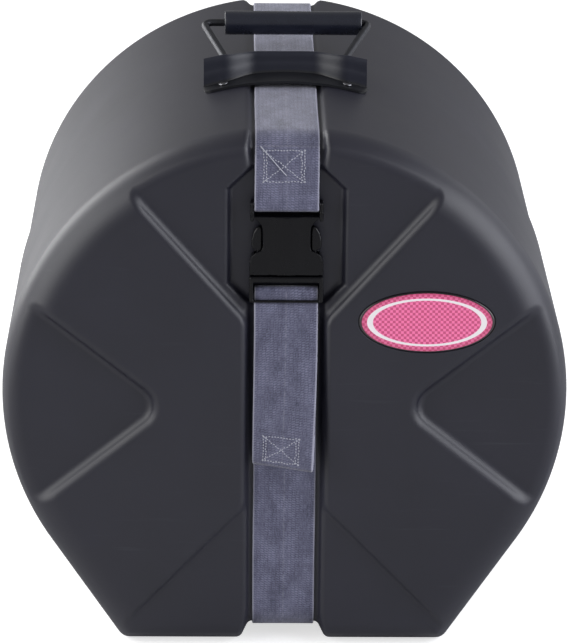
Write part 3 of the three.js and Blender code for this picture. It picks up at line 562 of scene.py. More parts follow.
@dataclass
class FieldMesher:
    """Turns a distance field into a quad mesh whose points lie on the field's surface."""

    shape: Field
    low: Sequence[float]
    high: Sequence[float]
    step: float
    block: int = 6
    slope: float = 1.3  # the steepest that a field is taken to grow
    relaxing: int = 2
    settling: int = 3

    def samples(self) -> np.ndarray:
        """Measures the field on a grid, finely only near the surface.

        Returns:
            The values, with the far ones standing in by their sign.
        """
        origin = np.array(self.low, float)
        span = np.array(self.high, float) - origin
        blocks = np.ceil((span / self.step + 1) / self.block).astype(int)
        wide = self.block * self.step
        middle = origin + (self.block - 1) * self.step / 2
        grid = np.stack(np.meshgrid(*(np.arange(n) * wide for n in blocks), indexing="ij"), -1)
        coarse = self.shape((grid + middle).reshape(-1, 3)).reshape(blocks)
        near = np.abs(coarse) < self.slope * wide * math.sqrt(3) / 2 + self.step
        values = np.repeat(np.repeat(np.repeat(coarse, self.block, 0), self.block, 1), self.block, 2)
        fine = np.repeat(np.repeat(np.repeat(near, self.block, 0), self.block, 1), self.block, 2)
        where = np.argwhere(fine)
        values[fine] = self.shape(origin + where * self.step)
        return values

    def surface(self) -> tuple[np.ndarray, np.ndarray]:
        """Finds the surface.

        Returns:
            Points, and faces of four point numbers each.
        """
        values = self.samples()
        inside = values < 0
        corners = [(i, j, k) for i in (0, 1) for j in (0, 1) for k in (0, 1)]
        size = np.array(values.shape) - 1
        count = np.zeros(size, np.int8)
        for i, j, k in corners:
            count += inside[i : i + size[0], j : j + size[1], k : k + size[2]]
        active = (count > 0) & (count < len(corners))
        cells = np.argwhere(active)
        number = np.full(size, -1)
        number[active] = np.arange(len(cells))
        total, crossings = np.zeros((len(cells), 3)), np.zeros(len(cells))
        for first in corners:
            for axis in range(3):
                if first[axis]:
                    continue
                second = list(first)
                second[axis] = 1
                a = values[tuple((cells + first).T)]
                b = values[tuple((cells + second).T)]
                crossed = (a < 0) != (b < 0)
                share = np.where(crossed, a / np.where(crossed, a - b, 1), 0)
                at = np.array(first, float) + share[:, None] * (np.array(second) - np.array(first))
                total += np.where(crossed[:, None], at, 0)
                crossings += crossed
        points = np.array(self.low) + (cells + total / crossings[:, None]) * self.step
        faces = [self.faces_along(axis, inside, number) for axis in range(3)]
        return self.settled(points, np.concatenate(faces))

    @staticmethod
    def faces_along(axis: int, inside: np.ndarray, number: np.ndarray) -> np.ndarray:
        """Makes the faces that cross the grid's lines along one axis.

        Args:
            axis: which axis.
            inside: which grid points are inside the solid.
            number: the surface point of each grid cell, or -1.

        Returns:
            Faces of four point numbers each.
        """
        i, j = (axis + 1) % 3, (axis + 2) % 3
        ahead = np.roll(inside, -1, axis)
        changed = inside != ahead
        for edge, other in ((axis, -1), (i, 0), (j, 0), (i, -1), (j, -1)):
            hide = [slice(None)] * 3
            hide[edge] = other
            changed[tuple(hide)] = False
        at = np.argwhere(changed)
        di, dj = np.eye(3, dtype=int)[i], np.eye(3, dtype=int)[j]
        around = [at - di - dj, at - dj, at, at - di]
        quads = np.stack([number[tuple(a.T)] for a in around], 1)
        leaving = inside[tuple(at.T)]
        quads[~leaving] = quads[~leaving][:, ::-1]
        return quads[(quads >= 0).all(axis=1)]

    def settled(self, points: np.ndarray, faces: np.ndarray) -> tuple[np.ndarray, np.ndarray]:
        """Evens out the points and puts them on the surface.

        Args:
            points: rough points.
            faces: their faces.

        Returns:
            The settled points and the same faces.
        """
        starts, ends = faces.ravel(), np.roll(faces, -1, 1).ravel()
        for turn in range(self.relaxing + self.settling):
            if turn < self.relaxing:
                total, count = np.zeros_like(points), np.zeros(len(points))
                for a, b in ((starts, ends), (ends, starts)):
                    np.add.at(total, a, points[b])
                    np.add.at(count, a, 1)
                points = points + 0.5 * (total / np.maximum(count, 1)[:, None] - points)
            value, slope = self.shape(points), gradient(self.shape, points)
            shift = (value / np.maximum((slope**2).sum(1), 0.1))[:, None] * slope
            length = np.linalg.norm(shift, axis=1, keepdims=True)
            points = points - shift * np.minimum(1, self.step / np.maximum(length, 1e-9))
        return points, faces


# Meshes


def mesh_object(name: str, points: np.ndarray, faces: Sequence[Sequence[int]]) -> bpy.types.Object:
    """Makes a smooth-shaded object at the origin.

    Args:
        name: of the piece.
        points: in millimetres.
        faces: of point numbers.

    Returns:
        The object, in the scene.
    """
    mesh = bpy.data.meshes.new(name)
    mesh.from_pydata((np.asarray(points, float) * MM).tolist(), [], [list(map(int, f)) for f in faces])
    mesh.polygons.foreach_set("use_smooth", [True] * len(mesh.polygons))
    mesh.update()
    made = bpy.data.objects.new(name, mesh)
    bpy.context.scene.collection.objects.link(made)
    return made


def baked(piece: bpy.types.Object) -> bpy.types.Object:
    """Applies a piece's modifiers to its mesh.

    Args:
        piece: an object with modifiers.

    Returns:
        The same object, with a plain mesh.
    """
    graph = bpy.context.evaluated_depsgraph_get()
    result = bpy.data.meshes.new_from_object(piece.evaluated_get(graph))
    piece.modifiers.clear()
    old = piece.data
    piece.data = result
    result.name = piece.name
    bpy.data.meshes.remove(old)
    return piece


def combined(piece: bpy.types.Object, other: bpy.types.Object, operation: str) -> bpy.types.Object:
    """Adds another solid to a piece or takes it away.

    Args:
        piece: what is kept.
        other: what is used and deleted.
        operation: UNION or DIFFERENCE.

    Returns:
        The piece.
    """
    step = piece.modifiers.new("combined", "BOOLEAN")
    step.operation, step.solver, step.object = operation, "EXACT", other
    baked(piece)
    bpy.data.objects.remove(other)
    return piece


def moved(piece: bpy.types.Object, offset: Sequence[float]) -> bpy.types.Object:
    """Moves a piece's mesh and leaves its origin.

    Args:
        piece: the object.
        offset: in millimetres.

    Returns:
        The same object.
    """
    points = points_of(piece.data) + np.array(offset)
    piece.data.vertices.foreach_set("co", (points * MM).ravel())
    piece.data.update()
    return piece


def box_mesh(name: str, low: Sequence[float], high: Sequence[float]) -> bpy.types.Object:
    """Makes a plain box.

    Args:
        name: of the box.
        low: lowest corner.
        high: highest corner.

    Returns:
        The object.
    """
    points = [(x, y, z) for x in (low[0], high[0]) for y in (low[1], high[1]) for z in (low[2], high[2])]
    faces = [(0, 1, 3, 2), (4, 6, 7, 5), (0, 4, 5, 1), (2, 3, 7, 6), (0, 2, 6, 4), (1, 5, 7, 3)]
    return mesh_object(name, np.array(points), faces)


def points_of(mesh: bpy.types.Mesh) -> np.ndarray:
    """The points of a mesh, in millimetres."""
    flat = np.empty(len(mesh.vertices) * 3)
    mesh.vertices.foreach_get("co", flat)
    return flat.reshape(-1, 3) / MM


def shade_by_field(piece: bpy.types.Object, shape: Field) -> None:
    """Gives a piece the exact normals of the field that it was made from.

    Args:
        piece: the object.
        shape: its field.
    """
    slope = gradient(shape, points_of(piece.data))
    slope /= np.maximum(np.linalg.norm(slope, axis=1, keepdims=True), 1e-9)
    piece.data.normals_split_custom_set_from_vertices(slope.tolist())


def dress(piece: bpy.types.Object, finish: Finish, slot: str, body: str, *nodes: str) -> bpy.types.Object:
    """Gives a piece its finish and its place in the frame.

    Args:
        piece: the object.
        finish: its surface.
        slot: the record's material slot; not used.
        body: the CAD body that it moves with.
        nodes: the CAD nodes that it stands for.

    Returns:
        The same object.
    """
    piece.data.materials.clear()
    piece.data.materials.append(finish.material())
    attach(piece, body)
    if nodes:
        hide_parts(*nodes)
    count = sum(len(face.vertices) - 2 for face in piece.data.polygons)
    log.info("%s: %d triangles, on %s", piece.name, count, body)
    return piece


def field_piece(name: str, shape: Field, low: Sequence[float], high: Sequence[float], step: float) -> bpy.types.Object:
    """Makes a closed piece from a field.

    Args:
        name: of the piece.
        shape: its field.
        low: lowest corner of a box round it.
        high: highest corner.
        step: distance between its points.

    Returns:
        The object.
    """
    margin = 2 * step
    points, faces = FieldMesher(shape, np.array(low) - margin, np.array(high) + margin, step).surface()
    piece = mesh_object(name, points, faces)
    shade_by_field(piece, shape)
    return piece


# Shells


class Face(Enum):
    """The two ends of the case."""

    FRONT = -1
    BACK = 1


@dataclass(frozen=True)
class CaseForm:
    """The outline that both shells share, seen along the drum's axis."""

    radius: float = 225.0
    axis_height: float = 211.0
    taper: float = math.radians(33)
    foot_corner: float = 12.0
    half_depth: float = 216.0
    seam: float = -6.0
    wall: float = 4.0

    def outline(self, x: np.ndarray, z: np.ndarray, inset: float, foot_inset: float) -> np.ndarray:
        """Distance to the outline, moved in.

        Args:
            x: across.
            z: above the floor.
            inset: of the round part and the lower sides.
            foot_inset: of the foot.

        Returns:
            The distance, negative inside.
        """
        across, up = np.abs(x), z - self.axis_height
        sine, cosine = math.sin(self.taper), math.cos(self.taper)
        radius = self.radius - inset
        floor = foot_inset - self.axis_height
        side = np.where(
            -across * sine - up * cosine > 0, across * cosine - up * sine - radius, np.hypot(across, up) - radius
        )
        corner_up = floor + self.foot_corner
        corner_out = (radius - self.foot_corner + corner_up * sine) / cosine
        u, v = across - corner_out, up - corner_up
        rounded = (u > 0) & (-u * sine - v * cosine > 0)
        return np.where(rounded, np.hypot(u, v) - self.foot_corner, np.maximum(side, floor - up))


@dataclass(frozen=True)
class Pattern:
    """The raised pads of a face, as what is sunk between them."""

    draft: float = 0.5
    upper_depth: float = 7.0
    upper_waist: tuple[float, float] = (33.0, 73.0)
    upper_angle: float = math.radians(48.9)
    side_depth: float = 8.0
    side_apex: tuple[float, float] = (90.7, 0.4)
    side_angle: float = math.radians(39)
    side_radius: float = 20.0
    lower_depth: float = 4.0
    lower_waist: tuple[float, float] = (33.0, -86.0)
    lower_angle: float = math.radians(46.6)
    seat_depth: float = 13.0
    seat_half_width: float = 50.0
    seat_low: float = 78.0
    seat_high: float = 204.0
    seat_cut: float = 22.0

    def hollow(self, plan: np.ndarray, above: np.ndarray, depth: float, fillet: float) -> np.ndarray:
        """A hollow with drafted sides and a filleted floor.

        Args:
            plan: distance to its outline at the face.
            above: distance in front of the face.
            depth: of the floor.
            fillet: radius round the floor.

        Returns:
            The field of what is taken out.
        """
        side = (plan - self.draft * above) / math.hypot(1, self.draft)
        return rounded_max(side, -depth - above, fillet)

    def cut(self, solid: np.ndarray, x: np.ndarray, up: np.ndarray, above: np.ndarray) -> np.ndarray:
        """Takes the hollows out of a shell.

        Args:
            solid: the shell's field.
            x: across.
            up: above the case's axis.
            above: distance in front of the face.

        Returns:
            The cut field.
        """
        across = np.abs(x)
        (out, rise), angle = self.upper_waist, self.upper_angle
        upper = (across - out) * math.sin(angle) - (up - rise) * math.cos(angle)
        solid = rounded_max(solid, -self.hollow(upper, above, self.upper_depth, 3.5), 3.5)
        (out, rise), angle = self.lower_waist, self.lower_angle
        lower = (across - out) * math.sin(angle) + (up - rise) * math.cos(angle)
        solid = rounded_max(solid, -self.hollow(lower, above, self.lower_depth, 2.5), 3.0)
        sine, cosine = math.sin(self.side_angle), math.cos(self.side_angle)
        u = across - self.side_apex[0] - self.side_radius / sine
        v = np.abs(up - self.side_apex[1])
        line = np.where(u * cosine + v * sine < 0, np.hypot(u, v), v * cosine - u * sine)
        return rounded_max(solid, -self.hollow(line - self.side_radius, above, self.side_depth, 4.0), 4.5)

    def seat(self, solid: np.ndarray, x: np.ndarray, up: np.ndarray, above: np.ndarray) -> np.ndarray:
        """Takes the buckle's seat out of a shell.

        Args:
            solid: the shell's field.
            x: across.
            up: above the case's axis.
            above: distance in front of the face.

        Returns:
            The cut field.
        """
        across = np.abs(x)
        ends = np.maximum(up - self.seat_high, self.seat_low - up)
        slant = (across - self.seat_half_width + ends + self.seat_cut) / math.sqrt(2)
        plan = rounded_max(rounded_max(across - self.seat_half_width, ends, 1.0), slant, 4.0)
        return rounded_max(solid, -self.hollow(plan, above, self.seat_depth, 2.0), 1.8)


@dataclass(frozen=True)
class Channel:
    """The groove in which the strap runs round the case."""

    half_width: float = 28.0
    draft: float = 0.5
    top_depth: float = 6.0
    foot_depth: float = 12.0
    floor_fillet: float = 2.0
    mouth_radius: float = 3.0

    def cut(
        self, solid: np.ndarray, x: np.ndarray, up: np.ndarray, above: np.ndarray, form: CaseForm, depth: float,
        bend: float,
    ) -> np.ndarray:
        """Takes the groove out of a shell.

        Args:
            solid: the shell's field.
            x: across.
            up: above the case's axis.
            above: distance in front of the face.
            form: the case's form.
            depth: of the groove in the face.
            bend: radius at which it turns over the shoulders.

        Returns:
            The cut field.
        """
        lifted = rounded_max(above + depth, up - form.radius + self.top_depth, bend)
        lifted = rounded_max(lifted, self.foot_depth - form.axis_height - up, bend)
        side = (np.abs(x) - self.half_width - self.draft * lifted) / math.hypot(1, self.draft)
        return rounded_max(solid, -rounded_max(side, -lifted, self.floor_fillet), self.mouth_radius)


@dataclass
class Shell:
    """One half of the case, made of an outer skin, an inner skin and the rim between them."""

    name: str
    face: Face
    inset: float
    shoulder: float
    channel_depth: float
    channel_bend: float
    form: CaseForm = field(default_factory=CaseForm)
    pattern: Pattern = field(default_factory=Pattern)
    channel: Channel = field(default_factory=Channel)
    step: float = 2.1
    inner_step: float = 5.0
    kept_share: float = 0.62

    def outside(self, points: np.ndarray) -> np.ndarray:
        """The shell's outer form, endless beyond the seam.

        Args:
            points: where to measure.

        Returns:
            The distance, negative inside.
        """
        x, y, z = points.T
        up = z - self.form.axis_height
        above = y * self.face.value - self.form.half_depth
        solid = rounded_max(self.form.outline(x, z, self.inset, 0.0), above, self.shoulder)
        solid = self.channel.cut(solid, x, up, above, self.form, self.channel_depth, self.channel_bend)
        solid = self.pattern.cut(solid, x, up, above)
        return self.extras(solid, x, up, above)

    def extras(self, solid: np.ndarray, x: np.ndarray, up: np.ndarray, above: np.ndarray) -> np.ndarray:
        """Leaves the form as it is: the lid adds its seats here."""
        return solid

    def inside(self, points: np.ndarray) -> np.ndarray:
        """The shell's inner form, as seen from the hollow: the wall is outside it."""
        return -(self.outside(points) + self.form.wall)

    def skin(self, shape: Field, step: float, share: float) -> bpy.types.Object:
        """Makes one skin, cut off at the seam.

        Args:
            shape: the skin's field.
            step: distance between its points.
            share: of its faces that is kept.

        Returns:
            An open mesh.
        """
        reach = self.form.radius + 2 * step
        side = self.face.value
        ends = sorted((self.form.seam - 3 * step * side, side * (self.form.half_depth + 2 * step)))
        low = (-reach, ends[0], -2 * step)
        high = (reach, ends[1], self.form.axis_height + reach)
        points, faces = FieldMesher(shape, low, high, step).surface()
        skin = mesh_object(self.name, points, faces)
        work = bmesh.new()
        work.from_mesh(skin.data)
        bmesh.ops.bisect_plane(
            work,
            geom=[*work.verts, *work.edges, *work.faces],
            plane_co=(0, self.form.seam * MM, 0),
            plane_no=(0, -self.face.value, 0),
            clear_outer=True,
        )
        work.to_mesh(skin.data)
        work.free()
        if share < 1:
            thin = skin.modifiers.new("thin", "DECIMATE")
            thin.ratio = share
            baked(skin)
        return skin

    def build(self) -> bpy.types.Object:
        """Makes both skins and closes the rim between them.

        Returns:
            The shell.
        """
        outer = self.skin(self.outside, self.step, self.kept_share)
        inner = self.skin(self.inside, self.inner_step, 1.0)
        work = bmesh.new()
        work.from_mesh(outer.data)
        work.from_mesh(inner.data)
        open_edges = [edge for edge in work.edges if edge.is_boundary]
        bmesh.ops.bridge_loops(work, edges=open_edges)
        work.to_mesh(outer.data)
        work.free()
        bpy.data.objects.remove(inner)
        outer.data.polygons.foreach_set("use_smooth", [True] * len(outer.data.polygons))
        self.shade(self.finished(outer))
        return outer

    def finished(self, skin: bpy.types.Object) -> bpy.types.Object:
        """Leaves the shell as it is: the lid cuts the badge's seat here."""
        return skin

    def shade(self, piece: bpy.types.Object) -> None:
        """Gives both skins the exact normals of their fields, and leaves cut faces flat.

        Args:
            piece: the closed shell.
        """
        mesh = piece.data
        points = points_of(mesh)
        value, slopes = self.outside(points), gradient(self.outside, points)
        slopes /= np.maximum(np.linalg.norm(slopes, axis=1, keepdims=True), 1e-9)
        outer, inner = np.abs(value) < 0.05, np.abs(value + self.form.wall) < 0.6
        normals = np.empty((len(mesh.loops), 3))
        for face in mesh.polygons:
            corners, at = list(face.loop_indices), list(face.vertices)
            flat = np.array(face.normal)
            normals[corners] = flat
            for side, skin in ((1, outer), (-1, inner)):
                if skin[at].all() and (side * slopes[at] @ flat > 0.5).all():
                    normals[corners] = side * slopes[at]
        mesh.normals_split_custom_set(normals.tolist())


@dataclass
class LidShell(Shell):
    """The front half, with the seats of the buckle and the badge."""

    badge: tuple[float, float] = (110.475, 284.5075)
    badge_size: tuple[float, float] = (53.8, 25.8)
    badge_depth: float = 1.2
    lip: float = 0.8

    def extras(self, solid: np.ndarray, x: np.ndarray, up: np.ndarray, above: np.ndarray) -> np.ndarray:
        """Takes out the buckle's seat.

        Args:
            solid: the shell's field.
            x: across.
            up: above the case's axis.
            above: distance in front of the face.

        Returns:
            The cut field.
        """
        return self.pattern.seat(solid, x, up, above)

    def finished(self, skin: bpy.types.Object) -> bpy.types.Object:
        """Cuts the badge's seat with a lip that turns over into the face.

        Args:
            skin: the closed shell.

        Returns:
            The cut shell.
        """
        face, (wide, high) = -self.form.half_depth, self.badge_size
        rings = [(0.0, 0.0, face + self.badge_depth), (wide, high, face + self.badge_depth)]
        for turn in np.radians(np.linspace(0, 90, 7)):
            out = self.lip * (1 - math.cos(turn))
            rings.append((wide + out, high + out, face + self.lip * (1 - math.sin(turn)) - 0.02))
        rings += [(wide + 3, high + 3, face - 0.4), (wide + 3, high + 3, face - 4), (0.0, 0.0, face - 4)]
        cutter = oval_stack("seat_cutter", self.badge, rings, 128)
        return combined(skin, cutter, "DIFFERENCE")


@dataclass
class Shells:
    """The lid, the base and the neck over which the lid slides."""

    form: CaseForm = field(default_factory=CaseForm)
    lid_step: float = 2.5
    neck_length: float = 36.0
    neck_inset: float = 5.0
    notch: tuple[float, float] = (39.5, 59.5)

    def lid(self) -> bpy.types.Object:
        """Makes the lid."""
        shell = LidShell("lid_skin", Face.FRONT, 0.0, 30.0, 10.0, 24.0)
        return dress(shell.build(), SHELL, "shell", "lid", "lid_shell")

    def base(self) -> bpy.types.Object:
        """Makes the base."""
        shell = Shell("base_skin", Face.BACK, self.lid_step, 20.0, 8.0, 28.0, step=2.6)
        return dress(shell.build(), SHELL, "shell", "base", "base_shell")

    def neck_field(self, points: np.ndarray) -> np.ndarray:
        """The neck: a band inside the lid, dipping under the strap's groove and notched for the rivets.

        Args:
            points: where to measure.

        Returns:
            The distance, negative inside.
        """
        x, y, z = points.T
        form, up = self.form, z - self.form.axis_height

        def band(inset: float) -> np.ndarray:
            """The outline moved in, with the groove."""
            solid = form.outline(x, z, inset, inset)
            deep = np.full_like(x, -form.half_depth)
            grown = Channel(half_width=28.0 + inset * math.hypot(1, 0.5) - inset * 0.5, mouth_radius=2.0)
            return grown.cut(solid, x, up - 0.0 + inset, deep, form, 0.0, 1.0) if inset else solid

        ring = rounded_max(band(self.neck_inset), -band(self.neck_inset + form.wall), 0.8)
        ends = np.maximum(form.seam - self.neck_length - y, y - form.seam - form.wall)
        ring = rounded_max(ring, ends, 0.8)
        slots = np.maximum(self.notch[0] - np.abs(x), np.abs(x) - self.notch[1])
        slots = np.maximum(np.maximum(slots, y - form.seam), form.radius - 60 - up)
        return rounded_max(ring, -slots, 0.8)

    def neck(self) -> bpy.types.Object:
        """Makes the neck."""
        form = self.form
        low = (-form.radius, form.seam - self.neck_length, 0.0)
        high = (form.radius, form.seam + form.wall, form.axis_height + form.radius)
        piece = field_piece("base_neck", self.neck_field, low, high, 2.6)
        return dress(piece, SHELL, "shell", "base")

    def build(self) -> None:
        """Makes all three."""
        self.lid()
        self.base()
        self.neck()


# Webbing


@dataclass
class Ribbon:
    """A band of webbing along a path seen from the side."""

    name: str
    path: np.ndarray  # centre line, as rows of y and z
    width: float = 50.0
    thickness: float = 1.8
    spacing: float = 2.4
    edge_points: int = 3
    across_points: int = 13
    wave: float = 0.12
    start: float = 0.0
    twist: float = 0.0
    slant: float = 0.0

    def __post_init__(self) -> None:
        """Evens out the path."""
        steps = np.linalg.norm(np.diff(self.path, axis=0), axis=1)
        reach = np.concatenate([[0], np.cumsum(steps)])
        self.length = float(reach[-1])
        count = max(int(self.length / self.spacing), 8) + 1
        self.reach = np.linspace(0, self.length, count)
        self.line = np.stack([np.interp(self.reach, reach, self.path[:, k]) for k in (0, 1)], 1)
        run = np.gradient(self.line, axis=0)
        run /= np.linalg.norm(run, axis=1, keepdims=True)
        self.out = np.stack([-run[:, 1], run[:, 0]], 1)

    def place(self, across: float, along: float, lift: float) -> np.ndarray:
        """A point on or over the band.

        Args:
            across: from its middle.
            along: from its start.
            lift: above its centre line.

        Returns:
            The point.
        """
        line = [float(np.interp(along, self.reach, self.line[:, k])) for k in (0, 1)]
        out = [float(np.interp(along, self.reach, self.out[:, k])) for k in (0, 1)]
        return self.turned(np.array([[across, line[0] + lift * out[0], line[1] + lift * out[1]]]))[0]

    def turned(self, points: np.ndarray) -> np.ndarray:
        """Turns a hanging band about its left edge, more and more towards its slanted lower end.

        Args:
            points: of the straight band.

        Returns:
            The turned points.
        """
        top, bottom = self.line[:, 1].max(), self.line[:, 1].min()
        share = np.clip((top - points[:, 2]) / (top - bottom), 0, 1)
        turn = self.twist * share**1.5
        u, v = points[:, 0] + self.width / 2, points[:, 1] - self.line[0, 0]
        x = u * np.cos(turn) + v * np.sin(turn) - self.width / 2
        y = v * np.cos(turn) - u * np.sin(turn) + self.line[0, 0]
        return np.stack([x, y, points[:, 2] - self.slant * u * share**8], 1) if self.twist else points

    def section(self) -> tuple[np.ndarray, np.ndarray]:
        """The band's cross-section.

        Returns:
            Positions across and up, round it.
        """
        radius = self.thickness / 2
        flat = np.linspace(-self.width / 2 + radius, self.width / 2 - radius, self.across_points)
        bend = np.linspace(math.pi / 2, -math.pi / 2, self.edge_points + 2)[1:-1]
        right = (self.width / 2 - radius + radius * np.cos(bend), radius * np.sin(bend))
        across = np.concatenate([flat, right[0], flat[::-1], -right[0]])
        up = np.concatenate([np.full(len(flat), radius), right[1], np.full(len(flat), -radius), right[1][::-1]])
        return across, up

    def build(self) -> bpy.types.Object:
        """Makes the band, with a map in millimetres across and along.

        Returns:
            The object.
        """
        across, up = self.section()
        count, rows = len(across), len(self.reach)
        ripple = self.wave * np.sin(self.reach / 31.0 + self.start) * np.sin(self.reach / 11.0)
        points = np.empty((rows, count, 3))
        for i in range(rows):
            edge = 1 + 0.04 * np.cos(self.reach[i] / 17.0)
            points[i, :, 0] = across + 0.12 * math.sin(self.reach[i] / 23.0)
            lift = up * edge + ripple[i] * (1 - (2 * across / self.width) ** 2)
            points[i, :, 1] = self.line[i, 0] + lift * self.out[i, 0]
            points[i, :, 2] = self.line[i, 1] + lift * self.out[i, 1]
        faces = []
        for i in range(rows - 1):
            for j in range(count):
                k = (j + 1) % count
                faces.append((i * count + j, (i + 1) * count + j, (i + 1) * count + k, i * count + k))
        faces.append(tuple(range(count)))
        faces.append(tuple((rows - 1) * count + j for j in reversed(range(count))))
        piece = mesh_object(self.name, self.turned(points.reshape(-1, 3)), faces)
        chart = piece.data.uv_layers.new(name="weave")
        along = np.repeat(self.reach + self.start, count)
        spread = np.tile(across, rows)
        corner = np.empty(len(piece.data.loops), int)
        piece.data.loops.foreach_get("vertex_index", corner)
        chart.data.foreach_set("uv", np.stack([spread[corner], along[corner]], 1).ravel())
        return piece


@dataclass
class StitchTree:
    """Geometry nodes that lay stitches along a line."""

    name: str = "stitch_run"

    def build(self) -> bpy.types.NodeTree:
        """Makes the tree once.

        Returns:
            The tree, with inputs for the line, the pitch, the stitch's length and the thread's radius.
        """
        known = bpy.data.node_groups.get(self.name)
        if known:
            return known
        tree = bpy.data.node_groups.new(self.name, "GeometryNodeTree")
        tree.interface.new_socket("Line", in_out="INPUT", socket_type="NodeSocketGeometry")
        for name in ("Pitch", "Stitch", "Thread"):
            tree.interface.new_socket(name, in_out="INPUT", socket_type="NodeSocketFloat")
        tree.interface.new_socket("Finish", in_out="INPUT", socket_type="NodeSocketMaterial")
        tree.interface.new_socket("Stitches", in_out="OUTPUT", socket_type="NodeSocketGeometry")
        given = add_node(tree, "NodeGroupInput").outputs
        curve = add_node(tree, "GeometryNodeMeshToCurve", {"Mesh": given["Line"]})
        spots = add_node(
            tree, "GeometryNodeCurveToPoints", {"Curve": curve.outputs[0], "Length": given["Pitch"]}, mode="LENGTH"
        )
        bead = add_node(tree, "GeometryNodeMeshUVSphere", {"Segments": 8, "Rings": 6, "Radius": 1.0})
        half = add_node(tree, "ShaderNodeMath", {0: given["Stitch"], 1: 0.5}, operation="MULTIPLY")
        size = add_node(tree, "ShaderNodeCombineXYZ", {0: given["Thread"], 1: given["Thread"], 2: half.outputs[0]})
        laid = add_node(
            tree,
            "GeometryNodeInstanceOnPoints",
            {
                "Points": spots.outputs["Points"],
                "Instance": bead.outputs["Mesh"],
                "Rotation": spots.outputs["Rotation"],
                "Scale": size.outputs[0],
            },
        )
        real = add_node(tree, "GeometryNodeRealizeInstances", {0: laid.outputs[0]})
        smooth = add_node(tree, "GeometryNodeSetShadeSmooth", {0: real.outputs[0]})
        shown = add_node(tree, "GeometryNodeSetMaterial", {"Geometry": smooth.outputs[0], "Material": given["Finish"]})
        add_node(tree, "NodeGroupOutput", {0: shown.outputs[0]})
        return tree


def with_tree(name: str, lines: Sequence[np.ndarray], tree: bpy.types.NodeTree, **values: object) -> bpy.types.Object:
    """Runs a tree of geometry nodes on lines or loose points and keeps the result as a plain mesh.

    Args:
        name: of the piece.
        lines: rows of points in millimetres; a single row is a loose point.
        tree: the tree.
        values: of its inputs, by name.

    Returns:
        The object.
    """
    mesh = bpy.data.meshes.new(name)
    points, edges = [], []
    for line in lines:
        edges += [(len(points) + i, len(points) + i + 1) for i in range(len(line) - 1)]
        points += (np.asarray(line, float) * MM).tolist()
    mesh.from_pydata(points, edges, [])
    piece = bpy.data.objects.new(name, mesh)
    bpy.context.scene.collection.objects.link(piece)
    modifier = piece.modifiers.new("made", "NODES")
    modifier.node_group = tree
    for item in tree.interface.items_tree:
        if item.item_type == "SOCKET" and item.in_out == "INPUT" and item.name in values:
            modifier[item.identifier] = values[item.name]
    return baked(piece)


def bend(y: float, z: float, radius: float, start: float, end: float, count: int = 14) -> list[tuple[float, float]]:
    """An arc in the side view.

    Args:
        y: its middle.
        z: its middle.
        radius: of the arc.
        start: angle in degrees.
        end: angle in degrees.
        count: of points.

    Returns:
        Points of y and z.
    """
    angles = np.radians(np.linspace(start, end, count))
    return [(y + radius * math.cos(a), z + radius * math.sin(a)) for a in angles]


